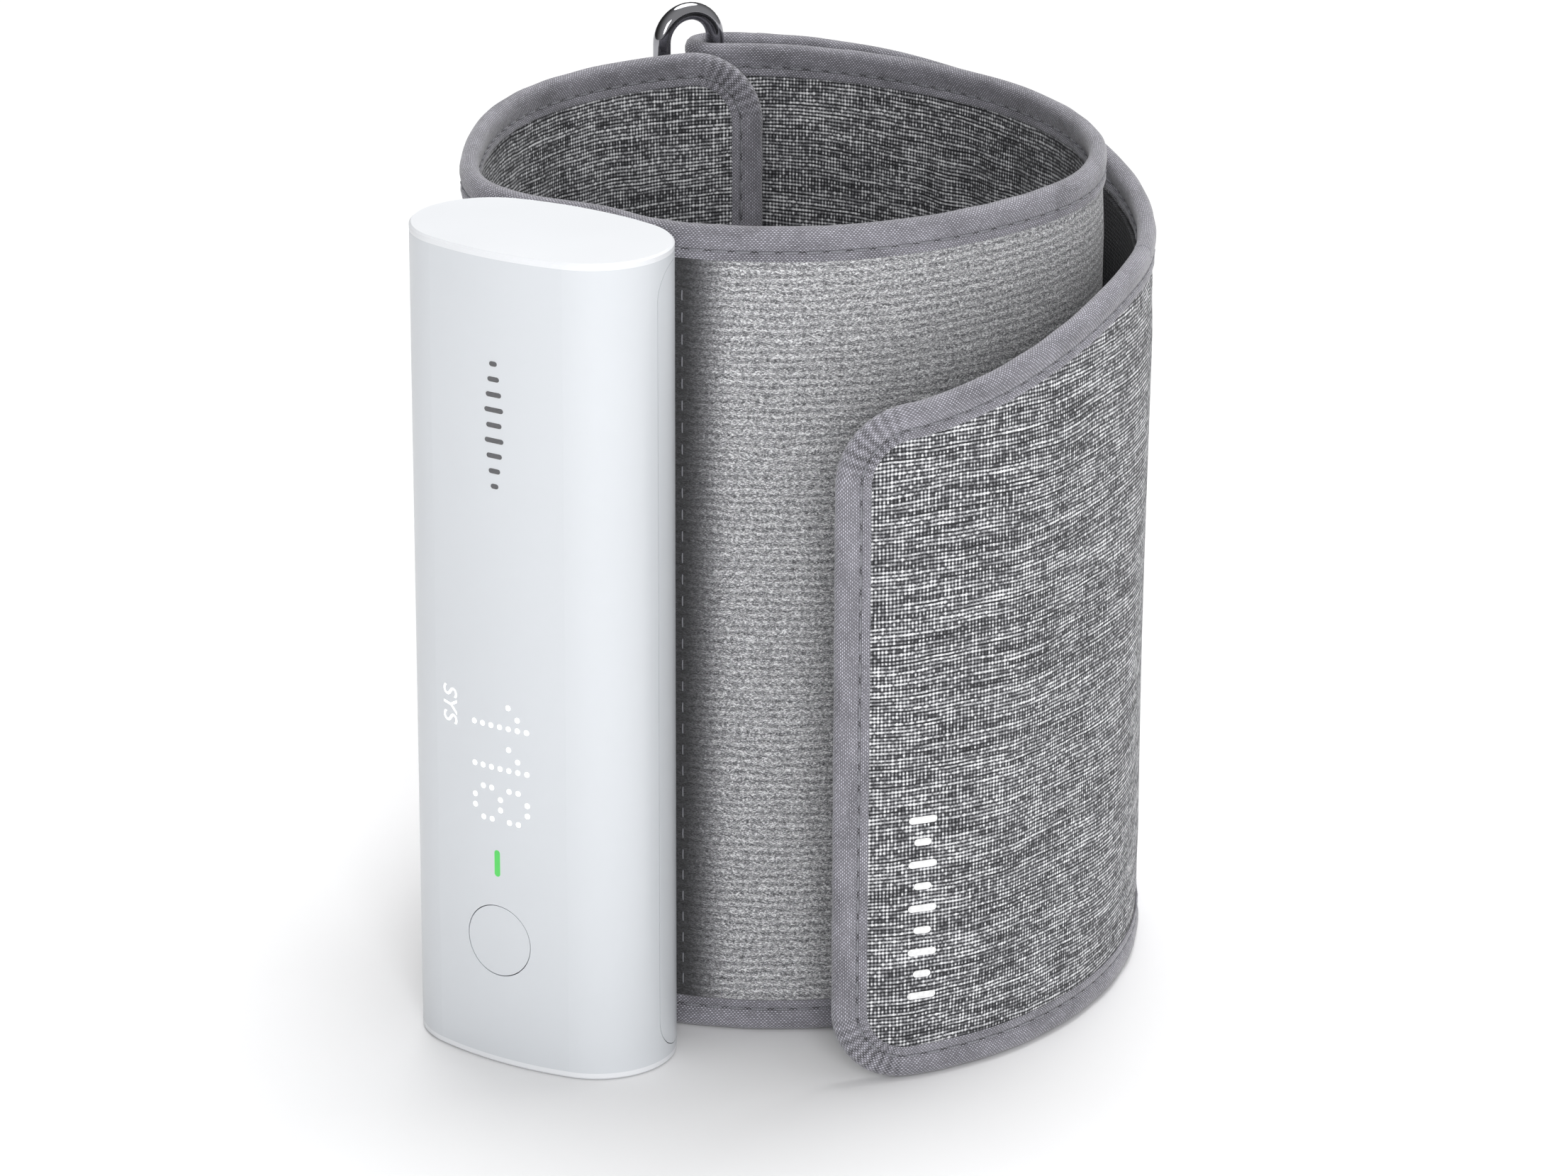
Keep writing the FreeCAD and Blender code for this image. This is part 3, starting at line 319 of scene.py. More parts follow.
def brushed_pile(seams):
    """Brushed loop fleece: fine level ribs under short pale fibres, with painted shade darkening it beside
    the seams each side of the tube.
    """
    look = Look("brushed_pile", roughness=0.95, sheen_weight=0.2, sheen_roughness=0.45)
    u, v = look.flat_place(1.0, 1.0)
    sway = look.noise(look.vector(look.times(u, 0.15), look.times(v, 0.3)), detail=3.0)
    v = look.plus(v, look.times(sway, 1.6))
    rib = yarn_profile(look, look.math("DIVIDE", v, RIB_PITCH))
    patch = look.noise(look.vector(u, v, 30.0), 1.1, 4.0, 0.75)
    tone = look.math("MULTIPLY_ADD", rib, 0.2, look.math("MULTIPLY_ADD", patch, 0.7, -0.2))
    height = look.times(rib, 0.5)
    for seed, along, across, lean in ((0.0, 0.9, 2.6, 0.5), (20.0, 1.3, 3.1, -0.7), (40.0, 1.8, 3.6, 0.2)):
        leaning = look.math("MULTIPLY_ADD", u, lean, look.times(v, across))
        place = look.vector(look.times(u, along), leaning, seed)
        field = look.math("ABSOLUTE", look.minus(look.noise(place, 1.0, 1.5, 0.6, 0.7), 0.5))
        strand = look.ease(field, 0.0, 0.13, 1.0, 0.0)
        strand = look.times(strand, look.ease(look.noise(place, 1.4, 1.0), 0.38, 0.62))
        tone = look.math("MULTIPLY_ADD", strand, 0.42, tone)
        height = look.math("MULTIPLY_ADD", strand, 0.5, height)
    # Painted shade: the pile darkens towards each seam beside the tube, standing in for the tube's shadow
    # and the shade where it meets the cuff.
    for seam in seams:
        away = look.math("ABSOLUTE", look.minus(u, float(seam)))
        tone = look.times(tone, look.ease(away, 0.0, SEAM_SHADE_REACH, 0.12, 1.0))
    stops = ((0.0, 0.02, 0.14), (0.3, 0.165, 0.1), (0.65, 0.44, 0.06), (1.0, 0.92, 0.03))
    look.set("Base Color", look.greys(tone, stops))
    look.bump(height, 0.2 * MM, 0.6)
    return look.material


def dotted_tape(creases):
    """Twill binding tape in cool grey: fine light dots in staggered rows, with painted shade along its sewn
    creases and painted light and shade on its puckers at the corners.
    """
    look = Look("dotted_tape", roughness=0.8, sheen_weight=0.35, sheen_roughness=0.4)
    u, v = look.flat_place(*TAPE_PITCH)
    row = look.math("FLOOR", v)
    shifted = look.plus(u, look.times(look.math("FLOORED_MODULO", row, 2.0), 0.5))
    side_u = look.minus(look.math("FRACT", shifted), 0.5)
    side_v = look.minus(look.math("FRACT", v), 0.5)
    square_v = look.times(side_v, side_v)
    reach = look.math("SQRT", look.math("MULTIPLY_ADD", side_u, side_u, square_v))
    dot = look.ease(reach, 0.46, 0.1)
    each = look.node("TexWhiteNoise", Vector=look.vector(look.math("FLOOR", shifted), row))
    wear = look.noise(look.vector(u, v, 5.0), 0.08, 3.0)
    tone = look.times(dot, look.plus(look.times(each, 0.5), 0.5))
    tone = look.plus(tone, look.times(look.minus(wear, 0.5), 0.5))
    # Painted shade: the tape is darkened along each stitch line, where its pressed crease holds shade.
    for crease in creases:
        gap = look.math("ABSOLUTE", look.minus(look.times(v, TAPE_PITCH[1]), crease))
        tone = look.minus(tone, look.ease(gap, 0.05, 0.35, 0.35, 0.0))
    tone = look.math("MULTIPLY_ADD", tone, 0.8, 0.2)
    drift = look.noise(look.vector(u, v, 8.0), 0.5)
    wave = look.math("SINE", look.math("MULTIPLY_ADD", drift, 5.0, look.times(u, 2.6)))
    # Painted light and shade: towards the rounded corners, the puckers are made lighter and darker in turn
    # in the colour, beside their bump.
    fold = look.times(wave, look.gathering())
    tone = look.math("MULTIPLY_ADD", fold, 0.15, tone)
    stops = (0.0, lavender(0.04)), (0.2, lavender(0.16)), (0.5, lavender(0.26)), (1.0, lavender(0.72))
    look.set("Base Color", look.shades(tone, *stops))
    look.bump(look.math("MULTIPLY_ADD", fold, 2.5, dot), 0.1 * MM, 0.7)
    return look.material


def twisted_thread(name, colour):
    """Sewing thread: two plies twisted together."""
    look = Look(name, roughness=0.6, sheen_weight=0.2)
    place = look.solid_place()
    twist = look.node("TexWave", output=1, Vector=place, Scale=900.0, Distortion=2.0)
    look.set("Base Color", look.shades(twist, (0.0, tuple(c * 0.6 for c in colour)), (1.0, colour)))
    look.bump(twist, 0.05 * MM, 0.6)
    return look.material


def hook_tape():
    """Moulded hook fastener: rows of tiny dark hooks on a dark ground."""
    look = Look("hook_tape", roughness=0.5, sheen_weight=0.1)
    u, v = look.flat_place(0.9, 0.7)
    height = look.times(yarn_profile(look, u), yarn_profile(look, v))
    ragged = look.noise(look.vector(u, v, 3.0), 1.5, 3.0)
    tone = look.times(height, look.plus(ragged, 0.4))
    look.set("Base Color", look.shades(tone, (0.0, grey(0.012, 0.2)), (1.0, grey(0.11, 0.2))))
    look.bump(height, 0.3 * MM)
    return look.material


def webbing():
    """Flat woven webbing with a fine herringbone."""
    look = Look("webbing", roughness=0.85, sheen_weight=0.2)
    u, v = look.flat_place(0.9, 0.9)
    fold = look.math("ABSOLUTE", look.minus(look.math("FRACT", look.math("DIVIDE", v, 4.0)), 0.5))
    ridge = look.math("FRACT", look.plus(u, look.times(fold, 4.0)))
    ridge = look.math("SINE", look.times(ridge, math.pi))
    tint = look.noise(look.vector(u, v), 0.4, 3.0)
    tone = look.plus(look.times(ridge, 0.6), look.times(tint, 0.5))
    look.set("Base Color", look.shades(tone, (0.1, grey(0.1, 0.2)), (1.0, grey(0.36, 0.15))))
    look.bump(ridge, 0.2 * MM)
    return look.material


def moulded(name, colour, roughness, grain=0.12, wear=0.008, **sockets):
    """Moulded plastic: an almost even colour over the fine spark-eroded grain of its mould."""
    look = Look(name, colour, roughness, **sockets)
    place = look.solid_place()
    cloud = look.noise(place, 30.0, 3.0)
    light, dark = tuple(min(c * (1 + wear), 1.0) for c in colour), tuple(c * (1 - wear) for c in colour)
    look.set("Base Color", look.shades(cloud, (0.3, dark), (0.7, light)))
    pits = look.noise(place, 1.0 / (grain * MM), 2.0, 0.6)
    look.set("Roughness", look.ease(cloud, 0.3, 0.7, roughness * 0.94, roughness * 1.06))
    look.bump(pits, 0.004 * MM, 0.5)
    return look.material


def metal(name, colour, roughness, brushed=0.0):
    """Bare or plated metal with faint rubbing marks; brushed stretches them along z."""
    look = Look(name, colour, roughness, metallic=1.0)
    stretched = look.node("Mapping", Vector=look.solid_place(), Scale=(1.0, 1.0, 1.0 - 0.95 * brushed))
    marks = look.noise(stretched, 700.0, 4.0, 0.6)
    cloud = look.noise(look.solid_place(), 90.0, 2.0)
    look.set("Base Color", look.shades(cloud, (0.3, tuple(c * 0.9 for c in colour)), (0.7, colour)))
    look.set("Roughness", look.ease(marks, 0.3, 0.7, roughness * 0.7, roughness * 1.4))
    look.bump(marks, 0.003 * MM, 0.4)
    return look.material


def circuit_board():
    """Solder mask over faint copper tracks."""
    look = Look("circuit_board", roughness=0.35, coat_weight=0.3)
    place = look.solid_place()
    tracks = look.node("TexBrick", output=1, Vector=place, Scale=120.0)
    cloud = look.noise(place, 150.0, 3.0)
    tone = look.plus(look.times(tracks, 0.5), look.times(cloud, 0.5))
    look.set("Base Color", look.shades(tone, (0.2, (0.01, 0.09, 0.045)), (0.8, (0.03, 0.2, 0.09))))
    look.bump(tracks, 0.03 * MM)
    return look.material


def wound_coil():
    """Turns of enamelled copper wire."""
    look = Look("wound_coil", roughness=0.3, metallic=1.0)
    settings = {"bands_direction": "Z"}
    turns = look.node("TexWave", output=1, settings=settings, Vector=look.solid_place(), Scale=500.0)
    look.set("Base Color", look.shades(turns, (0.0, (0.25, 0.08, 0.03)), (1.0, (0.8, 0.32, 0.14))))
    look.bump(turns, 0.1 * MM)
    return look.material


def lit(name, colour, strength):
    """Light seen through a thin moulded skin, with a faint random mottling."""
    look = Look(name, colour, 0.45)
    cloud = look.noise(look.solid_place(), 400.0, 2.0)
    dark = tuple(c * 0.92 for c in colour)
    shade = look.shades(cloud, (0.35, dark), (0.65, colour))
    look.set("Base Color", shade)
    look.set("Emission Color", shade)
    look.set("Emission Strength", strength)
    return look.material


def printed(name, colour):
    """Printed ink with the slight mottling of a screen print."""
    look = Look(name, colour, 0.55)
    cloud = look.noise(look.solid_place(), 1500.0, 3.0)
    look.set("Base Color", look.shades(cloud, (0.3, tuple(c * 0.86 for c in colour)), (0.6, colour)))
    look.bump(cloud, 0.01 * MM)
    return look.material


SHELL = (0.655, 0.68, 0.71)
CAD_LOOKS = {
    "shell_white": moulded("satin_shell", SHELL, 0.4, coat_weight=0.35, coat_roughness=0.22),
    "cap_white": moulded("satin_cap", (0.80, 0.815, 0.84), 0.45, coat_weight=0.1, coat_roughness=0.3),
    "button_white": moulded("satin_button", SHELL, 0.4, coat_weight=0.35, coat_roughness=0.22),
    "light_green": lit("green_light", (0.08, 0.52, 0.10), 0.35),
    "circuit_board": circuit_board(),
    "led_white": lit("led_package", (0.85, 0.85, 0.8), 0.2),
    "chip_black": moulded("chip_resin", (0.02, 0.02, 0.022), 0.5),
    "switch_black": moulded("switch_case", (0.03, 0.03, 0.032), 0.4),
    "chassis_grey": moulded("chassis_plastic", (0.22, 0.23, 0.24), 0.55),
    "screw_steel": metal("screw_steel_look", (0.55, 0.55, 0.57), 0.3),
    "port_steel": metal("port_steel_look", (0.6, 0.6, 0.62), 0.25),
    "cell_wrap": moulded("cell_shrink_wrap", (0.05, 0.14, 0.4), 0.35, coat_weight=0.3),
    "contact_nickel": metal("contact_nickel_look", (0.65, 0.62, 0.55), 0.25),
    "motor_steel": metal("motor_can_look", (0.5, 0.5, 0.51), 0.35, brushed=1.0),
    "magnet_dark": moulded("sintered_magnet", (0.04, 0.04, 0.045), 0.6),
    "rotor_steel": metal("rotor_steel_look", (0.48, 0.47, 0.46), 0.35),
    "pump_plastic": moulded("pump_resin", (0.09, 0.09, 0.1), 0.5),
    "rubber_black": moulded("soft_rubber", (0.025, 0.025, 0.026), 0.75, sheen_weight=0.1),
    "valve_plastic": moulded("valve_resin", (0.55, 0.53, 0.48), 0.5),
    "coil_copper": wound_coil(),
    "plunger_steel": metal("plunger_steel_look", (0.55, 0.55, 0.55), 0.28),
    "hose_clear": moulded("silicone_hose", (0.62, 0.63, 0.62), 0.3, subsurface_weight=0.2),
    "sensor_white": moulded("sensor_case", (0.6, 0.6, 0.58), 0.5),
    "ring_chrome": metal("dark_chrome", (0.34, 0.34, 0.36), 0.07),
    "stiffener_white": moulded("stiffener_sheet", (0.7, 0.7, 0.68), 0.6),
    "bladder_grey": moulded("bladder_film", (0.3, 0.31, 0.33), 0.45),
    "clamp_steel": metal("clamp_plate_look", (0.5, 0.5, 0.5), 0.35, brushed=1.0),
}


def dress_cad_nodes():
    """Gives each CAD node that stays the node material of its slot."""
    for node in frame["nodes"].values():
        for place in node.material_slots:
            if place.material.name in CAD_LOOKS:
                place.material = CAD_LOOKS[place.material.name]


# ---------------------------------------------------------------- the strip


def smooth(x):
    x = np.clip(x, 0.0, 1.0)
    return x * x * (3 - 2 * x)


def spline(points, per_span=40):
    """Close points on the natural cubic curve through points."""
    points = np.array(points, float)
    places = np.concatenate(([0.0], np.cumsum(np.linalg.norm(np.diff(points, axis=0), axis=1))))
    spans = np.diff(places)
    matrix = np.eye(len(points))
    right = np.zeros_like(points)
    for i in range(1, len(points) - 1):
        matrix[i, i - 1:i + 2] = spans[i - 1], 2 * (spans[i - 1] + spans[i]), spans[i]
        slopes = (points[i + 1] - points[i]) / spans[i] - (points[i] - points[i - 1]) / spans[i - 1]
        right[i] = 6 * slopes
    bends = np.linalg.solve(matrix, right)
    line = []
    for i, h in enumerate(spans):
        a = np.linspace(0, h, per_span, endpoint=False)[:, None]
        b = h - a
        line.append(
            (bends[i] * b ** 3 + bends[i + 1] * a ** 3) / (6 * h)
            + (points[i] / h - bends[i] * h / 6) * b
            + (points[i + 1] / h - bends[i + 1] * h / 6) * a
        )
    return np.vstack(line + [points[-1:]])


def turned(x, y):
    """A place in the tube's own frame, in the plan."""
    c, s = math.cos(TUBE_TURN), math.sin(TUBE_TURN)
    return TUBE_CENTRE + np.array([x * c - y * s, x * s + y * c])


def tube_back(x):
    """A plan point on the cuff's middle line, x across the tube behind its rear face."""
    c = TUBE_HALF_WIDTH - TUBE_END_RADIUS
    side = (c * c + TUBE_HALF_DEPTH ** 2 - TUBE_END_RADIUS ** 2) / (2 * (TUBE_HALF_DEPTH - TUBE_END_RADIUS))
    turn = math.asin(x / side)
    reach = side + CUFF_STANDOFF
    return turned(reach * math.sin(turn), TUBE_HALF_DEPTH - side + reach * math.cos(turn))


class Strip:
    """The middle line of the cuff strip and its edges."""

    def __init__(self):
        behind_tube = [tube_back(x) for x in (-12.0, -4.0, 4.0, 11.0)]
        enter = [FREE_BAR + (3.5, -FOLD_RADIUS), FREE_BAR + (0.0, -FOLD_RADIUS)]
        leave = [FREE_BAR + (0.0, FOLD_RADIUS), FREE_BAR + (4.0, FOLD_RADIUS)]
        loop = spline([*LOOP_START, *behind_tube, *LOOP_REST, *enter])
        turn = np.linspace(-0.5 * math.pi, -1.5 * math.pi, 60)[:, None]
        fold = FREE_BAR + FOLD_RADIUS * np.hstack([np.cos(turn), np.sin(turn)])
        wrap = spline([*leave, *WRAP_REST])
        self.line = np.vstack([loop, fold[1:], wrap[1:]])
        steps = np.linalg.norm(np.diff(self.line, axis=0), axis=1)
        self.places = np.concatenate(([0.0], np.cumsum(steps)))
        self.loop_end = self.places[len(loop) - 1]
        self.fold_end = self.places[len(loop) + len(fold) - 2]
        self.total = self.places[-1]
        self.along = np.gradient(self.line, self.places, axis=0)

    def at(self, s, d, z):
        """Places in metres in the row frame, for arrays or numbers s, d and z."""
        s, d, z = np.broadcast_arrays(s, d, z)
        x, y, ax, ay = (
            np.interp(s, self.places, column) for column in (*self.line.T, *self.along.T)
        )
        size = np.hypot(ax, ay)
        x = x + ay / size * d + PLAN_SHIFT[0]
        y = y - ax / size * d + PLAN_SHIFT[1]
        return np.stack([x, y, z], axis=-1) * MM

    def edges(self, s):
        """The strip's lower and upper edge at s, before its ends are rounded."""
        rise = smooth((s - self.loop_end + RISE_LENGTH) / RISE_LENGTH)
        share = (s - self.fold_end) / (self.total - self.fold_end)
        end_drop = FOLD_Z[1] - FLAP_DROP - END_CORNER_TOP
        high = FOLD_Z[1] - FLAP_DROP * smooth(share / 0.62) - end_drop * smooth((share - 0.66) / 0.34)
        low = FOLD_Z[0] * (1 - smooth(share / 0.35))
        inside = s <= self.fold_end
        return (
            np.where(inside, FOLD_Z[0] * rise, low),
            np.where(inside, STRIP_WIDTH - (STRIP_WIDTH - FOLD_Z[1]) * rise, high),
        )

    def heights(self, s, inset):
        """The lower and upper edge at s with rounded ends, moved in by inset all round."""
        low, high = self.edges(np.clip(s, CORNER, self.total - CORNER))
        corner = CORNER - inset
        reach = np.clip(corner - (np.minimum(s, self.total - s) - inset), 0.0, corner)
        drop = corner - np.sqrt(corner * corner - reach * reach)
        return low + inset + drop, high - inset - drop

    def nearest(self, point):
        return self.places[np.argmin(np.linalg.norm(self.line - point, axis=1))]


strip = Strip()
first_joint = strip.fold_end + FIRST_JOINT
second_joint = strip.fold_end + (strip.total - strip.fold_end) * FLAP_SHARE
CUTS = {
    "loop": (0.0, first_joint - BEND),
    "wrap": (first_joint - BEND, second_joint - BEND),
    "flap": (second_joint - BEND, strip.total),
}
tube_at = strip.nearest(tube_back(0.0))
PILE_SEAMS = (strip.nearest(turned(-21.0, 17.0)), strip.nearest(np.array([-16.0, -31.0])))


def bell(x, middle, width):
    return np.exp(-((x - middle) / width) ** 2)


def clear_of_tape(s, z, reach):
    """0 under the binding tape, rising to 1 at reach inside it."""
    low, high = strip.edges(s)
    free = 1.0
    for gap in (z - low, high - z, s, strip.total - s):
        free = free * smooth((gap - TAPE_WIDTH - 1) / reach)
    return free


def lining_swell(s, z):
    """How far the lining stands off its base: upright ripples inside the loop, soft waves on the flap."""
    low, high = strip.edges(s)
    free = clear_of_tape(s, z, 14)
    ripple = 0.5 + 0.5 * np.sin(s * 0.52 + 1.1 * np.sin(z / 23) + 0.8 * np.sin(s / 19))
    broad = 0.5 + 0.5 * np.sin(s * 0.13 + z / 37 + 1.2 * np.sin(s / 31))
    inside = bell(s, 70, 40) + 0.5 * bell(s, 150, 60) + bell(s, 305, 45)
    outside = 0.35 * smooth((s - strip.fold_end) / 30)
    tucks = 0.16 * (0.5 + 0.5 * np.cos(2 * math.pi * s / STITCH_PITCH))
    near_tape = bell(z, low + TAPE_WIDTH + 3, 3) + bell(z, high - TAPE_WIDTH - 3, 3)
    soft = free * (0.75 * inside * ripple + (0.35 + outside) * broad)
    return soft + tucks * near_tape * clear_of_tape(s, z, 2)


def pile_swell(s, z):
    """How far the pile stands off its base: a soft pad with a sewn valley each side of the tube."""
    free = clear_of_tape(s, z, 10)
    seam = 1 - bell(s, PILE_SEAMS[1], 1.6) - bell(s, PILE_SEAMS[0], 1.6)
    by_tube = 1 - bell(s, tube_at, 22)
    broad = 0.6 + 0.4 * np.sin(s * 0.09 + z / 41 + 1.5 * np.sin(z / 29))
    return 0.55 * free * seam * by_tube * broad


# ---------------------------------------------------------------- mesh building


def put(name, data):
    """A new object, linked into the scene."""
    made = bpy.data.objects.new(name, data)
    bpy.context.scene.collection.objects.link(made)
    return made


def new_mesh(name, vertices, faces, material, flat=None, sharp=50.0):
    """An object from numpy vertices in metres, with outward normals and the flat place of each vertex."""
    mesh = bpy.data.meshes.new(name)
    mesh.from_pydata(vertices.reshape(-1, 3).tolist(), [], faces)
    if flat is not None:
        attribute = mesh.attributes.new("cloth", "FLOAT_VECTOR", "POINT")
        attribute.data.foreach_set("vector", (flat.reshape(-1, 3) * MM).astype(np.float32).ravel())
    shape = bmesh.new()
    shape.from_mesh(mesh)
    bmesh.ops.recalc_face_normals(shape, faces=shape.faces)
    shape.to_mesh(mesh)
    shape.free()
    mesh.polygons.foreach_set("use_smooth", [True] * len(mesh.polygons))
    mesh.set_sharp_from_angle(angle=math.radians(sharp))
    mesh.materials.append(material)
    return put(name, mesh)


def ring_faces(count, size, first=0, capped=True):
    """The faces of a tube of count rings of size points each, with a face over each end."""
    faces = []
    for i in range(count - 1):
        for j in range(size):
            a, b = first + i * size + j, first + i * size + (j + 1) % size
            faces.append((a, b, b + size, a + size))
    if capped:
        last = first + (count - 1) * size
        faces.append(tuple(range(first, first + size)))
        faces.append(tuple(range(last + size - 1, last - 1, -1)))
    return faces


def flat_places(u, v, gathered=0.0):
    """The flat place of each vertex, with how much the cloth is gathered there."""
    return np.stack(np.broadcast_arrays(u, v, gathered), axis=-1)


def spaced(start, end, step):
    """Places from start to end about step apart, closer together at the strip's rounded ends."""
    places = np.linspace(start, end, max(int((end - start) / step), 4))
    corner = np.geomspace(0.02, 3.0, 12)
    ends = []
    if start < 1:
        ends.append(start + corner)
    if end > strip.total - 1:
        ends.append(end - corner)
    return np.unique(np.concatenate([places, *ends])) if ends else places


def cloth_layer(name, part, across, swell, material):
    """One cloth of the strip: a thin closed sheet between two distances across it."""
    start, end = CUTS[part]
    start, end = max(start, CLOTH_EDGE), min(end, strip.total - CLOTH_EDGE)
    return strip_sheet(name, start, end, across, CLOTH_EDGE, swell, material)


def strip_sheet(name, start, end, across, inset, swell, material, step=CLOTH_STEP):
    s = spaced(start, end, step)[:, None]
    low, high = strip.heights(s, inset)
    rows = int(STRIP_WIDTH / step)
    z = low + (high - low) * np.linspace(0, 1, rows)
    out = math.copysign(1.0, sum(across))
    near, far = sorted(across, key=abs)
    lift = out * swell(s, z)
    outer = strip.at(s, far + lift, z)
    inner = strip.at(s, near + lift, z)[:, ::-1]
    flat = flat_places(s, z)
    vertices = np.concatenate([outer, inner], axis=1)
    flats = np.concatenate([flat, flat[:, ::-1]], axis=1)
    return new_mesh(name, vertices, ring_faces(len(s), 2 * rows), material, flats)


class EdgePath:
    """A way along the strip's edge, round its ends: u is the distance along it at the stitch line."""

    def __init__(self, marks):
        self.marks = np.array(marks)
        s, z, us, uz = self.marks.T
        reach = CORNER - STITCH_INSET
        steps = np.hypot(np.diff(s + reach * us), np.diff(z + reach * uz))
        self.places = np.concatenate(([0.0], np.cumsum(steps)))
        self.length = self.places[-1]

    def at(self, u, inset, d):
        """Places in metres at u along the edge, inset from it and d across the strip."""
        s, z, us, uz = (np.interp(u, self.places, column) for column in self.marks.T)
        size = np.hypot(us, uz)
        reach = CORNER - inset
        return strip.at(s + reach * us / size, d, z + reach * uz / size)

    def turning(self, u):
        """1 at the middle of a rounded corner and 0 along the straight edges."""
        us, uz = (np.interp(u, self.places, column) for column in self.marks.T[2:])
        return 2 * np.abs(us * uz) / (us * us + uz * uz)


def edge_marks(start, end, up):
    """Centres of an edge circle along the upper or lower edge, each with the way out from it."""
    s = np.linspace(start, end, max(int((end - start) / TAPE_STEP), 2))
    edge = strip.edges(s)[1 if up else 0]
    out = 1.0 if up else -1.0
    return [(a, b - out * CORNER, 0.0, out) for a, b in zip(s, edge)]


def end_marks(s, outward):
    """Marks round one end of the strip, from its lower corner to its upper corner."""
    centre = s - outward * CORNER
    low, high = (float(edge) for edge in strip.edges(np.array(centre)))
    quarter = np.linspace(0, 0.5 * math.pi, 30)[1:]
    marks = [(centre, low + CORNER, outward * math.sin(a), -math.cos(a)) for a in quarter]
    marks += [(centre, z, outward * 1.0, 0.0) for z in np.linspace(low + CORNER, high - CORNER, 120)]
    return marks + [(centre, high - CORNER, outward * math.sin(a), math.cos(a)) for a in quarter[::-1]]


def edge_paths(part):
    """The edge ways of one part of the strip."""
    start, end = CUTS[part]
    top = edge_marks(max(start, CORNER), min(end, strip.total - CORNER), True)
    bottom = edge_marks(max(start, CORNER), min(end, strip.total - CORNER), False)
    if part == "loop":
        return [EdgePath(bottom[::-1] + end_marks(0.0, -1) + top)]
    if part == "flap":
        return [EdgePath(bottom + end_marks(strip.total, 1) + top[::-1])]
    return [EdgePath(top), EdgePath(bottom)]


# The tape's section on the pile side, from its sewn edge to the strip's edge: (inset, distance across)
TAPE_OUTSIDE = (
    (6.0, 1.14), (6.02, 1.36), (5.85, 1.5), (5.3, 1.53), (4.8, 1.46), (4.3, 1.3), (3.8, 1.46), (3.2, 1.58),
    (2.4, 1.68), (1.5, 1.66), (0.75, 1.42), (0.25, 0.92), (0.02, 0.35),
)
TAPE_INSIDE = ((0.42, 0.3), (0.6, 0.75), (1.2, 1.09), (3.0, 1.12), (4.5, 1.12))


def tape_section():
    """The whole closed section of the folded tape, as arrays of insets and distances across."""
    outside = list(TAPE_OUTSIDE) + [(w, -d) for w, d in TAPE_OUTSIDE[::-1]]
    inside = [(w, -d) for w, d in TAPE_INSIDE[::-1]] + list(TAPE_INSIDE)
    return np.array(outside + inside).T


def crease_places():
    """Where the two stitch lines lie, in millimetres round the tape's section from its first edge."""
    inset, across = tape_section()
    width = np.concatenate(([0.0], np.cumsum(np.hypot(np.diff(inset), np.diff(across)))))
    outside = 2 * len(TAPE_OUTSIDE)
    return [float(w) for w, i in zip(width[:outside], inset[:outside]) if i == STITCH_INSET]


def binding(name, part, material):
    """The tape folded over the edge, pressed in along its stitches and gathered a little between them."""
    inset, across = tape_section()
    side = np.sign(across)
    width = np.concatenate(([0.0], np.cumsum(np.hypot(np.diff(inset), np.diff(across)))))
    vertices, flats, faces = [], [], []
    for path in edge_paths(part):
        u = np.linspace(0, path.length, int(path.length / TAPE_STEP))[:, None]
        beat = np.cos(2 * math.pi * u / STITCH_PITCH)
        press = bell(inset, STITCH_INSET, 0.55) * (0.10 + 0.10 * beat)
        puff = bell(inset, 1.8, 1.1) * 0.07 * np.sin(u * 0.41 + 1.3 * np.sin(u / 17))
        lifted = bell(inset, 5.8, 0.5) * 0.08 * np.sin(u * 0.9 + 2 * np.sin(u / 11))
        shifted = across - side * press + side * puff + side * np.maximum(lifted, 0.0)
        outline = inset + 0.09 * bell(inset, 0.1, 0.9) * np.sin(u * 0.23 + np.sin(u / 9)) ** 2
        faces += ring_faces(len(u), len(inset), sum(len(v) for v in vertices))
        vertices.append(path.at(u, outline, shifted).reshape(-1, 3))
        flats.append(flat_places(u, width, path.turning(u)).reshape(-1, 3))
    return new_mesh(name, np.vstack(vertices), faces, material, np.vstack(flats), 40.0)


THREAD = 0.2
THREAD_SIDES = 6
STITCH_D = 1.32
STITCH_FROM = 0.14
STITCH_SHARE = 0.72
SEAM_SHARE = 0.6


def thread_rings(places, across_way, up_way, radius):
    """Rings of a thread round a line of places, whose two cross ways are given for each place."""
    turn = np.linspace(0, 2 * math.pi, THREAD_SIDES, endpoint=False)
    ring = np.cos(turn)[:, None] * across_way[:, None, :] + np.sin(turn)[:, None] * up_way[:, None, :]
    return places[:, None, :] + ring * radius[:, None, None]


def dash(point_at, start, end, side, radius=THREAD):
    """One stitch: a bowed piece of thread. point_at(u, w, d) places it and side is the face it lies on."""
    u = np.linspace(start, end, 6)
    arch = np.sin(np.linspace(0, math.pi, 6))
    lift = side * (arch ** 0.6 * 0.34 - 0.22)
    middle = point_at(u, 0.0, lift)
    across_way = point_at(u, 1.0, lift) - middle
    up_way = point_at(u, 0.0, lift + side) - middle
    return thread_rings(middle, across_way, up_way, radius * (0.45 + 0.55 * arch ** 0.4))


def sewn(name, dashes, material):
    """One object from many thread dashes."""
    size = THREAD_SIDES
    faces = []
    for k, rings in enumerate(dashes):
        faces += ring_faces(len(rings), size, k * len(dashes[0]) * size)
    vertices = np.vstack([rings.reshape(-1, 3) for rings in dashes])
    return new_mesh(name, vertices, faces, material, sharp=70.0)


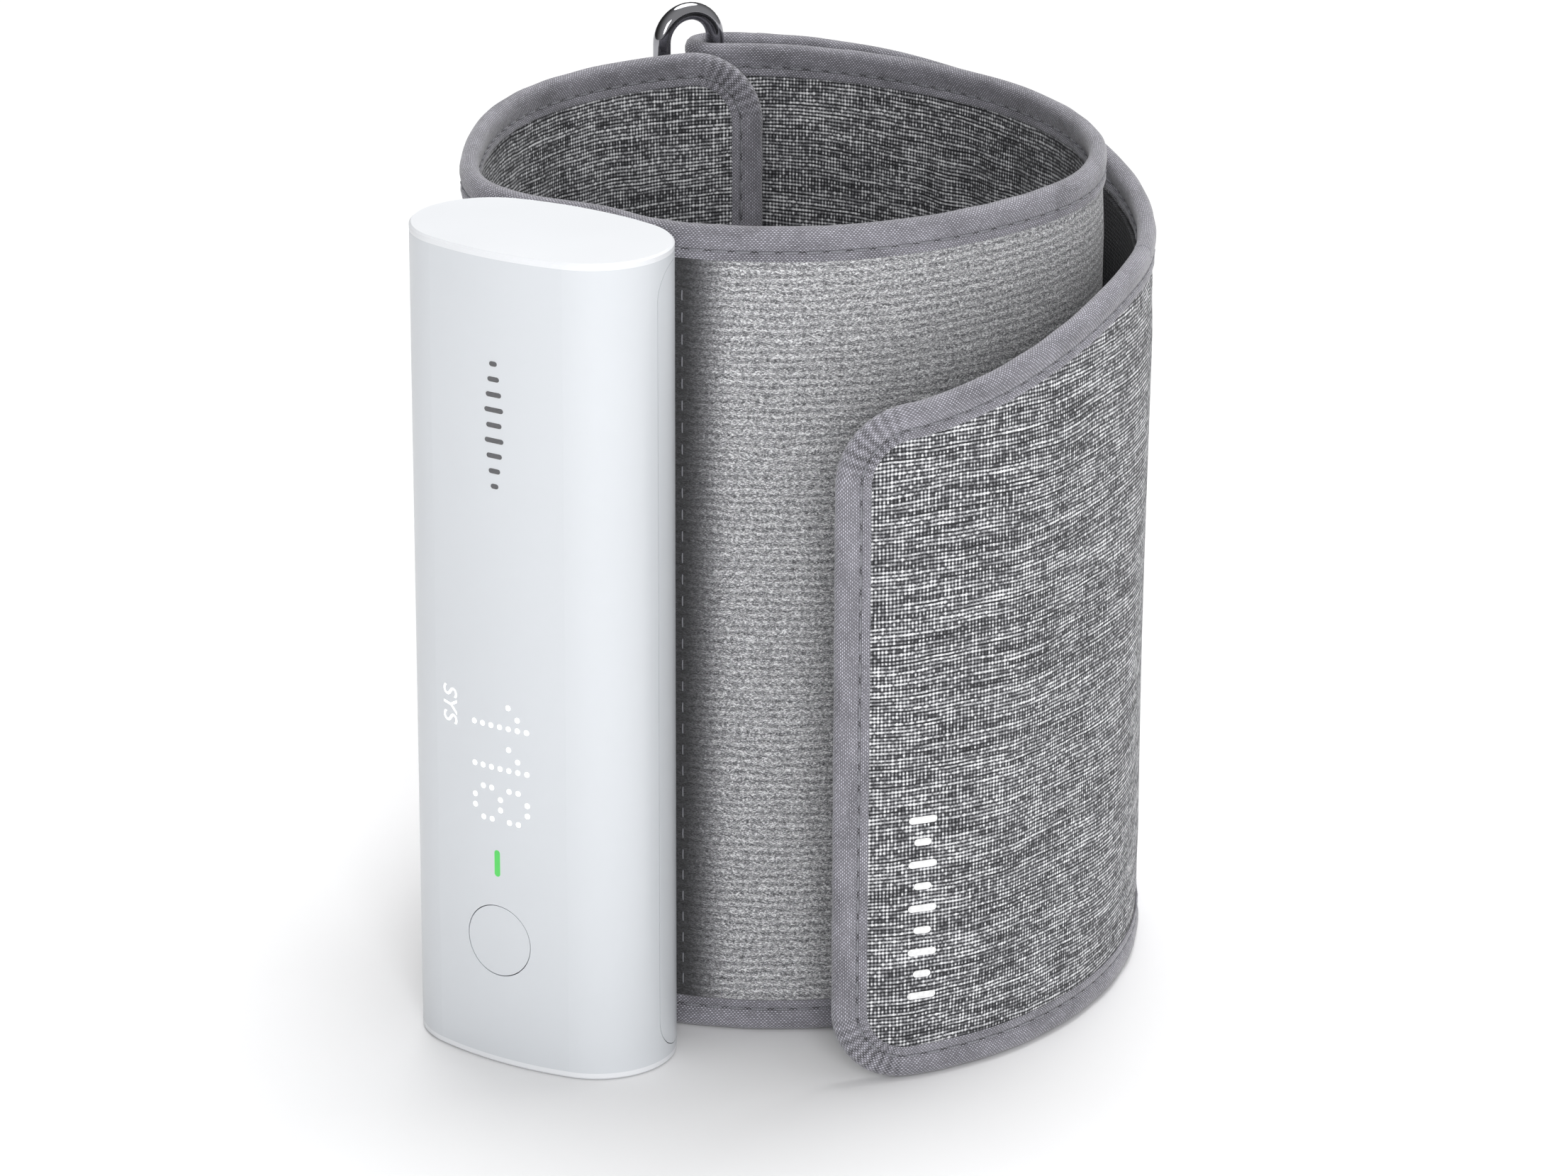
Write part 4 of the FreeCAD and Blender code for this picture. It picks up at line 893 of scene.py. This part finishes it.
def edge_stitches(part):
    """Stitches along the tape on both faces of the strip."""
    dashes = []
    for path in edge_paths(part):
        for k in range(int(path.length / STITCH_PITCH)):
            start = (k + STITCH_FROM) * STITCH_PITCH
            for side in (1, -1):
                def point_at(u, w, d, path=path, side=side):
                    return path.at(u, STITCH_INSET + w, side * STITCH_D + d)
                dashes.append(dash(point_at, start, start + STITCH_SHARE * STITCH_PITCH, side))
    return dashes


def upright_seam(s):
    """A line of stitches up the pile side at s."""
    dashes = []
    low, high = (float(edge) for edge in strip.edges(np.array(s)))
    for z in np.arange(low + TAPE_WIDTH + 2, high - TAPE_WIDTH - 4, STITCH_PITCH):
        def point_at(u, w, d):
            return strip.at(s + w, PILE_D[1] + 0.02 + d, u)
        dashes.append(dash(point_at, z, z + SEAM_SHARE * STITCH_PITCH, 1, SEAM_SHARE * THREAD))
    return dashes


# ---------------------------------------------------------------- pieces


def settle(piece, part):
    """Makes a loop piece move with the cuff and tube; a wrap or flap piece only has its transform written
    into its mesh.
    """
    if part == "loop":
        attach(piece, "cuff_and_tube")
    else:
        joint = first_joint if part == "wrap" else second_joint
        start, end = (Vector(strip.at(joint + off, 0.0, STRIP_WIDTH / 2)) for off in (-BEND, BEND))
        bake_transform(piece)


def make_cuff():
    weave, pile, tape = melange_weave(), brushed_pile(PILE_SEAMS), dotted_tape(crease_places())
    thread = twisted_thread("grey_thread", grey(0.3, 0.18))
    for part, (start, end) in CUTS.items():
        lining = cloth_layer("lining_cloth_" + part, part, LINING_D, lining_swell, weave)
        settle(lining, part)
        fleece = cloth_layer("pile_cloth_" + part, part, PILE_D, pile_swell, pile)
        settle(fleece, part)
        edge = binding("edge_tape_" + part, part, tape)
        settle(edge, part)
        dashes = edge_stitches(part)
        if part == "loop":
            dashes += [d for s in PILE_SEAMS for d in upright_seam(s)]
        stitches = sewn("stitches_" + part, dashes, thread)
        settle(stitches, part)
        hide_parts("lining_" + part)
        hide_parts("pile_" + part)
        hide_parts("binding_" + part)
    make_hook_pads()


def make_hook_pads():
    """The hook fastener inside the outer layer, in two pieces that meet at the flap's fold line."""
    hooks = hook_tape()
    inset = TAPE_WIDTH + 1
    spans = {
        "wrap": (second_joint - HOOK_LENGTH, second_joint - BEND),
        "flap": (second_joint - BEND, strip.total - inset),
    }

    def lift(s, z):
        return HOOK_LIFT + pile_swell(s, z)

    for part, (start, end) in spans.items():
        pad = strip_sheet("hook_pad_" + part, start, end, HOOK_D, inset, lift, hooks, HOOK_STEP)
        if part == "wrap":
            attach(pad, "wrap")
        else:
            settle(pad, part)
        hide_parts("hook_patch_" + part)


SLEEVE_HALF = 0.55
SLEEVE_Z = (12.0, 144.0)
SLEEVE_SEAM = np.array([-40.0, 66.0])


def sleeve_line():
    """The middle line of the ring's webbing sleeve in plan: off the strip, round the held bar and back."""
    seam = strip.nearest(SLEEVE_SEAM)
    reach = RING_WIRE + 0.1 + SLEEVE_HALF

    def on_strip(s, off):
        return strip.at(s, off, 0.0)[:2] / MM - PLAN_SHIFT

    foot = on_strip(seam, TAPE_HALF + 1.6)
    way = (HELD_BAR - foot) / np.linalg.norm(HELD_BAR - foot)
    side = np.array([-way[1], way[0]])
    outer, inner = side, -side
    if np.dot(on_strip(seam, 10.0) - on_strip(seam, 0.0), side) < 0:
        outer, inner = -side, side
    half_turn = np.linspace(0, math.pi, 7)
    turns = [HELD_BAR + reach * (inner * math.cos(a) + way * math.sin(a)) for a in half_turn]
    under = [on_strip(seam + s, TAPE_HALF + off) for s, off in ((8, 0.8), (3, 0.8))]
    over = [on_strip(seam + s, TAPE_HALF + off) for s, off in ((3, 2.1), (8, 2.0))]
    rise, fall = foot + way * 5 + inner * 0.7, foot + way * 6 + outer * 0.7
    return spline([*under, rise, *turns, fall, *over], 8)


def make_sleeve():
    """Webbing round the ring's held bar, its two ends sewn to the strip."""
    line = sleeve_line()
    steps = np.concatenate(([0.0], np.cumsum(np.linalg.norm(np.diff(line, axis=0), axis=1))))
    along = np.gradient(line, steps, axis=0)
    along /= np.linalg.norm(along, axis=1)[:, None]
    across = np.stack([along[:, 1], -along[:, 0]], axis=1)
    rows = 90
    z = np.linspace(*SLEEVE_Z, rows)[None, :, None]
    sheets = []
    for off in (SLEEVE_HALF, -SLEEVE_HALF):
        round_edge = 0.75 + 0.25 * np.sqrt(1 - np.linspace(-1, 1, rows) ** 8)
        wave = 0.12 * np.sin(z[0, :, 0] / 9)
        shift = (off * round_edge + wave)[None, :, None]
        plan = (line + PLAN_SHIFT)[:, None, :] + across[:, None, :] * shift
        sheets.append(np.concatenate([plan, np.broadcast_to(z, (len(line), rows, 1))], axis=2) * MM)
    flat = flat_places(steps[:, None], z[0, :, 0][None, :])
    vertices = np.concatenate([sheets[0], sheets[1][:, ::-1]], axis=1)
    flats = np.concatenate([flat, flat[:, ::-1]], axis=1)
    sleeve = new_mesh("ring_webbing", vertices, ring_faces(len(line), 2 * rows), webbing(), flats)
    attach(sleeve, "cuff_and_tube")
    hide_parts("ring_sleeve")


class TubeFace:
    """Places on the display side of the tube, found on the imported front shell."""

    def __init__(self):
        self.into = Vector(next(j["axis"] for j in frame["joints"] if j["name"] == "button_press"))
        self.side = Vector((self.into.y, -self.into.x, 0.0))
        low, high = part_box("top_cap")
        self.centre = (low + high) / 2
        self.centre.z = 0.0
        shell = frame["nodes"]["front_shell"].data
        corners, faces = [v.co for v in shell.vertices], [p.vertices for p in shell.polygons]
        self.tree = BVHTree.FromPolygons(corners, faces)

    def at(self, x, z, lift):
        """The place x across the face and z up, lift off the shell."""
        start = self.centre + self.side * (x * MM) + Vector((0, 0, z * MM)) - self.into * 0.05
        hit = self.tree.ray_cast(start, self.into)[0]
        return hit - self.into * (lift * MM)


def stamp(name, outlines, place, material, lift=PRINT_LIFT):
    """Thin raised print: each outline is a convex ring of (x, z), put on a surface by place(x, z, lift)."""
    vertices, faces = [], []
    for outline in outlines:
        first, size = len(vertices), len(outline)
        vertices += [place(x, z, h) for h in (-0.1, lift) for x, z in outline]
        middle_x, middle_z = (sum(p[axis] for p in outline) / size for axis in (0, 1))
        vertices.append(place(middle_x, middle_z, lift))
        hub = first + 2 * size
        for j in range(size):
            a, b = first + j, first + (j + 1) % size
            faces += [(a, b, b + size, a + size), (a + size, b + size, hub)]
        faces.append(tuple(range(first + size - 1, first - 1, -1)))
    return new_mesh(name, np.array([list(v) for v in vertices]), faces, material)


def disc_outline(x, z, radius, sides=20):
    turn = np.linspace(0, 2 * math.pi, sides, endpoint=False)
    return [(x + radius * math.cos(a), z + radius * math.sin(a)) for a in turn]


def bar_outline(x, z, length, width, sides=6):
    """A round-ended bar along x."""
    half, r = (length - width) / 2, width / 2
    turn = np.linspace(-math.pi / 2, math.pi / 2, sides)
    right = [(x + half + r * math.cos(a), z + r * math.sin(a)) for a in turn]
    left = [(x - half - r * math.cos(a), z - r * math.sin(a)) for a in turn]
    return right + left


def make_display(face):
    """The lit dots that show a reading."""
    dots = []
    for row, cells in enumerate(DOT_ROWS):
        for column, cell in enumerate(cells):
            if cell == "#":
                x, z = DOT_TOP[0] - row * DOT_PITCH[0], DOT_TOP[1] - column * DOT_PITCH[1]
                dots.append(disc_outline(x, z, DOT_RADIUS))
    shown = stamp("display_dots", dots, face.at, lit("white_dots", (1.0, 1.0, 1.0), 0.6))
    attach(shown, "cuff_and_tube")


def make_label(face):
    """The generic label of the reading, in plain lettering that reads down the tube."""
    curve = bpy.data.curves.new("reading_label", "FONT")
    curve.body = "SYS"
    curve.size = LABEL_SIZE
    curve.shear = 0.2
    curve.extrude = 0.05
    text = put("reading_label_text", curve)
    bpy.context.view_layer.update()
    mesh = bpy.data.meshes.new_from_object(text.evaluated_get(bpy.context.evaluated_depsgraph_get()))
    bpy.data.objects.remove(text)
    for vertex in mesh.vertices:
        x, y, z = vertex.co
        vertex.co = face.at(LABEL_FOOT[0] + y, LABEL_FOOT[1] - x, PRINT_LIFT if z > 0 else -0.05)
    mesh.materials.clear()
    mesh.materials.append(lit("white_label", (1.0, 1.0, 1.0), 0.6))
    label = put("reading_label", mesh)
    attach(label, "cuff_and_tube")


def make_marks(face):
    """Plain printed marks: a level scale on the tube and an index scale on the flap."""
    x, top = LEVEL_TOP
    bars = [
        bar_outline(x, top - LEVEL_PITCH * k, length, LEVEL_BAR_WIDTH) for k, length in enumerate(LEVEL_BARS)
    ]
    level = stamp("level_scale", bars, face.at, printed("grey_ink", grey(0.12, 0.1)))
    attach(level, "cuff_and_tube")

    def on_flap(x, z, lift):
        s = strip.total - INDEX_FROM_END + x
        return strip.at(s, LINING_D[0] - lining_swell(np.array(s), np.array(z)) - lift, z)

    bars = [
        bar_outline(0.0, INDEX_FOOT + INDEX_PITCH * k, length, INDEX_BAR_WIDTH)
        for k, length in enumerate(INDEX_BARS)
    ]
    scale = stamp("index_scale", bars, on_flap, printed("white_ink", grey(0.9)), INDEX_LIFT)
    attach(scale, "flap")


# ---------------------------------------------------------------- stage, light and camera


FLOOR_HALF = 6.0
FLOOR_DROP = 0.0002


def make_stage():
    look = Look("stage_white", (0.93, 0.93, 0.935), 0.8)
    cloud = look.noise(look.solid_place(), 3.0)
    look.set("Base Color", look.shades(cloud, (0.3, (0.925, 0.925, 0.93)), (0.7, (0.935, 0.935, 0.94))))
    floor_z = cad_box[0].z - FLOOR_DROP
    signs = ((-1, -1), (1, -1), (1, 1), (-1, 1))
    corners = np.array([(x * FLOOR_HALF, y * FLOOR_HALF, floor_z) for x, y in signs])
    new_mesh("floor", corners, [(0, 1, 2, 3)], look.material)


BRIGHT_SIDE = (0.6, -0.65, 0.45)
SKY_FACING = (-0.7, 0.9)
SKY_LEVELS = (0.05, 0.58)
KEY_PLACE = (0.12, -1.45, 0.65)
KEY_TARGET = (0.0, 0.0, 0.08)
KEY_SIZE = (0.5, 0.7)
KEY_POWER = 10.0
OVERHEAD = 2.5
OVERHEAD_SPREAD = 50.0
OVERHEAD_TILT = (-24.0, 6.0)


def make_sky():
    """An even sky, brighter towards BRIGHT_SIDE."""
    world = bpy.data.worlds.new("studio")
    world.use_nodes = True
    nodes, links = world.node_tree.nodes, world.node_tree.links
    facing = nodes.new("ShaderNodeVectorMath")
    facing.operation = "DOT_PRODUCT"
    facing.inputs[1].default_value = Vector(BRIGHT_SIDE).normalized()
    links.new(nodes.new("ShaderNodeTexCoord").outputs["Generated"], facing.inputs[0])
    level = nodes.new("ShaderNodeMapRange")
    level.interpolation_type = "SMOOTHSTEP"
    for place, value in enumerate((*SKY_FACING, *SKY_LEVELS), 1):
        level.inputs[place].default_value = value
    links.new(facing.outputs["Value"], level.inputs[0])
    links.new(level.outputs[0], nodes["Background"].inputs["Strength"])
    nodes["Background"].inputs["Color"].default_value = (1.0, 1.0, 1.0, 1.0)
    bpy.context.scene.world = world


def make_lights():
    data = bpy.data.lights.new("key", "AREA")
    data.shape = "RECTANGLE"
    data.size, data.size_y = KEY_SIZE
    data.energy = KEY_POWER
    key = put("key", data)
    key.location = KEY_PLACE
    key.rotation_euler = (Vector(KEY_TARGET) - Vector(KEY_PLACE)).to_track_quat("-Z", "Y").to_euler()
    sun = put("overhead", bpy.data.lights.new("overhead", "SUN"))
    sun.data.energy = OVERHEAD
    sun.data.angle = math.radians(OVERHEAD_SPREAD)
    sun.rotation_euler = (*(math.radians(tilt) for tilt in OVERHEAD_TILT), 0.0)


CAMERA_PLACE = (-0.0024, -1.036, 0.4462)
CAMERA_DOWN = 20.24
CAMERA_ROLL = -0.23
CAMERA_LENS = 137.6


def make_camera():
    data = bpy.data.cameras.new("camera")
    data.sensor_width = 36.0
    data.lens = CAMERA_LENS
    camera = put("camera", data)
    camera.location = CAMERA_PLACE
    camera.rotation_mode = "XYZ"
    camera.rotation_euler = (math.radians(90 - CAMERA_DOWN), math.radians(CAMERA_ROLL), 0.0)
    bpy.context.scene.camera = camera


make_camera()
make_stage()
make_sky()
make_lights()
dress_cad_nodes()
make_cuff()
make_sleeve()
tube_face = TubeFace()
make_display(tube_face)
make_label(tube_face)
make_marks(tube_face)
bpy.context.scene.view_settings.view_transform = "Standard"
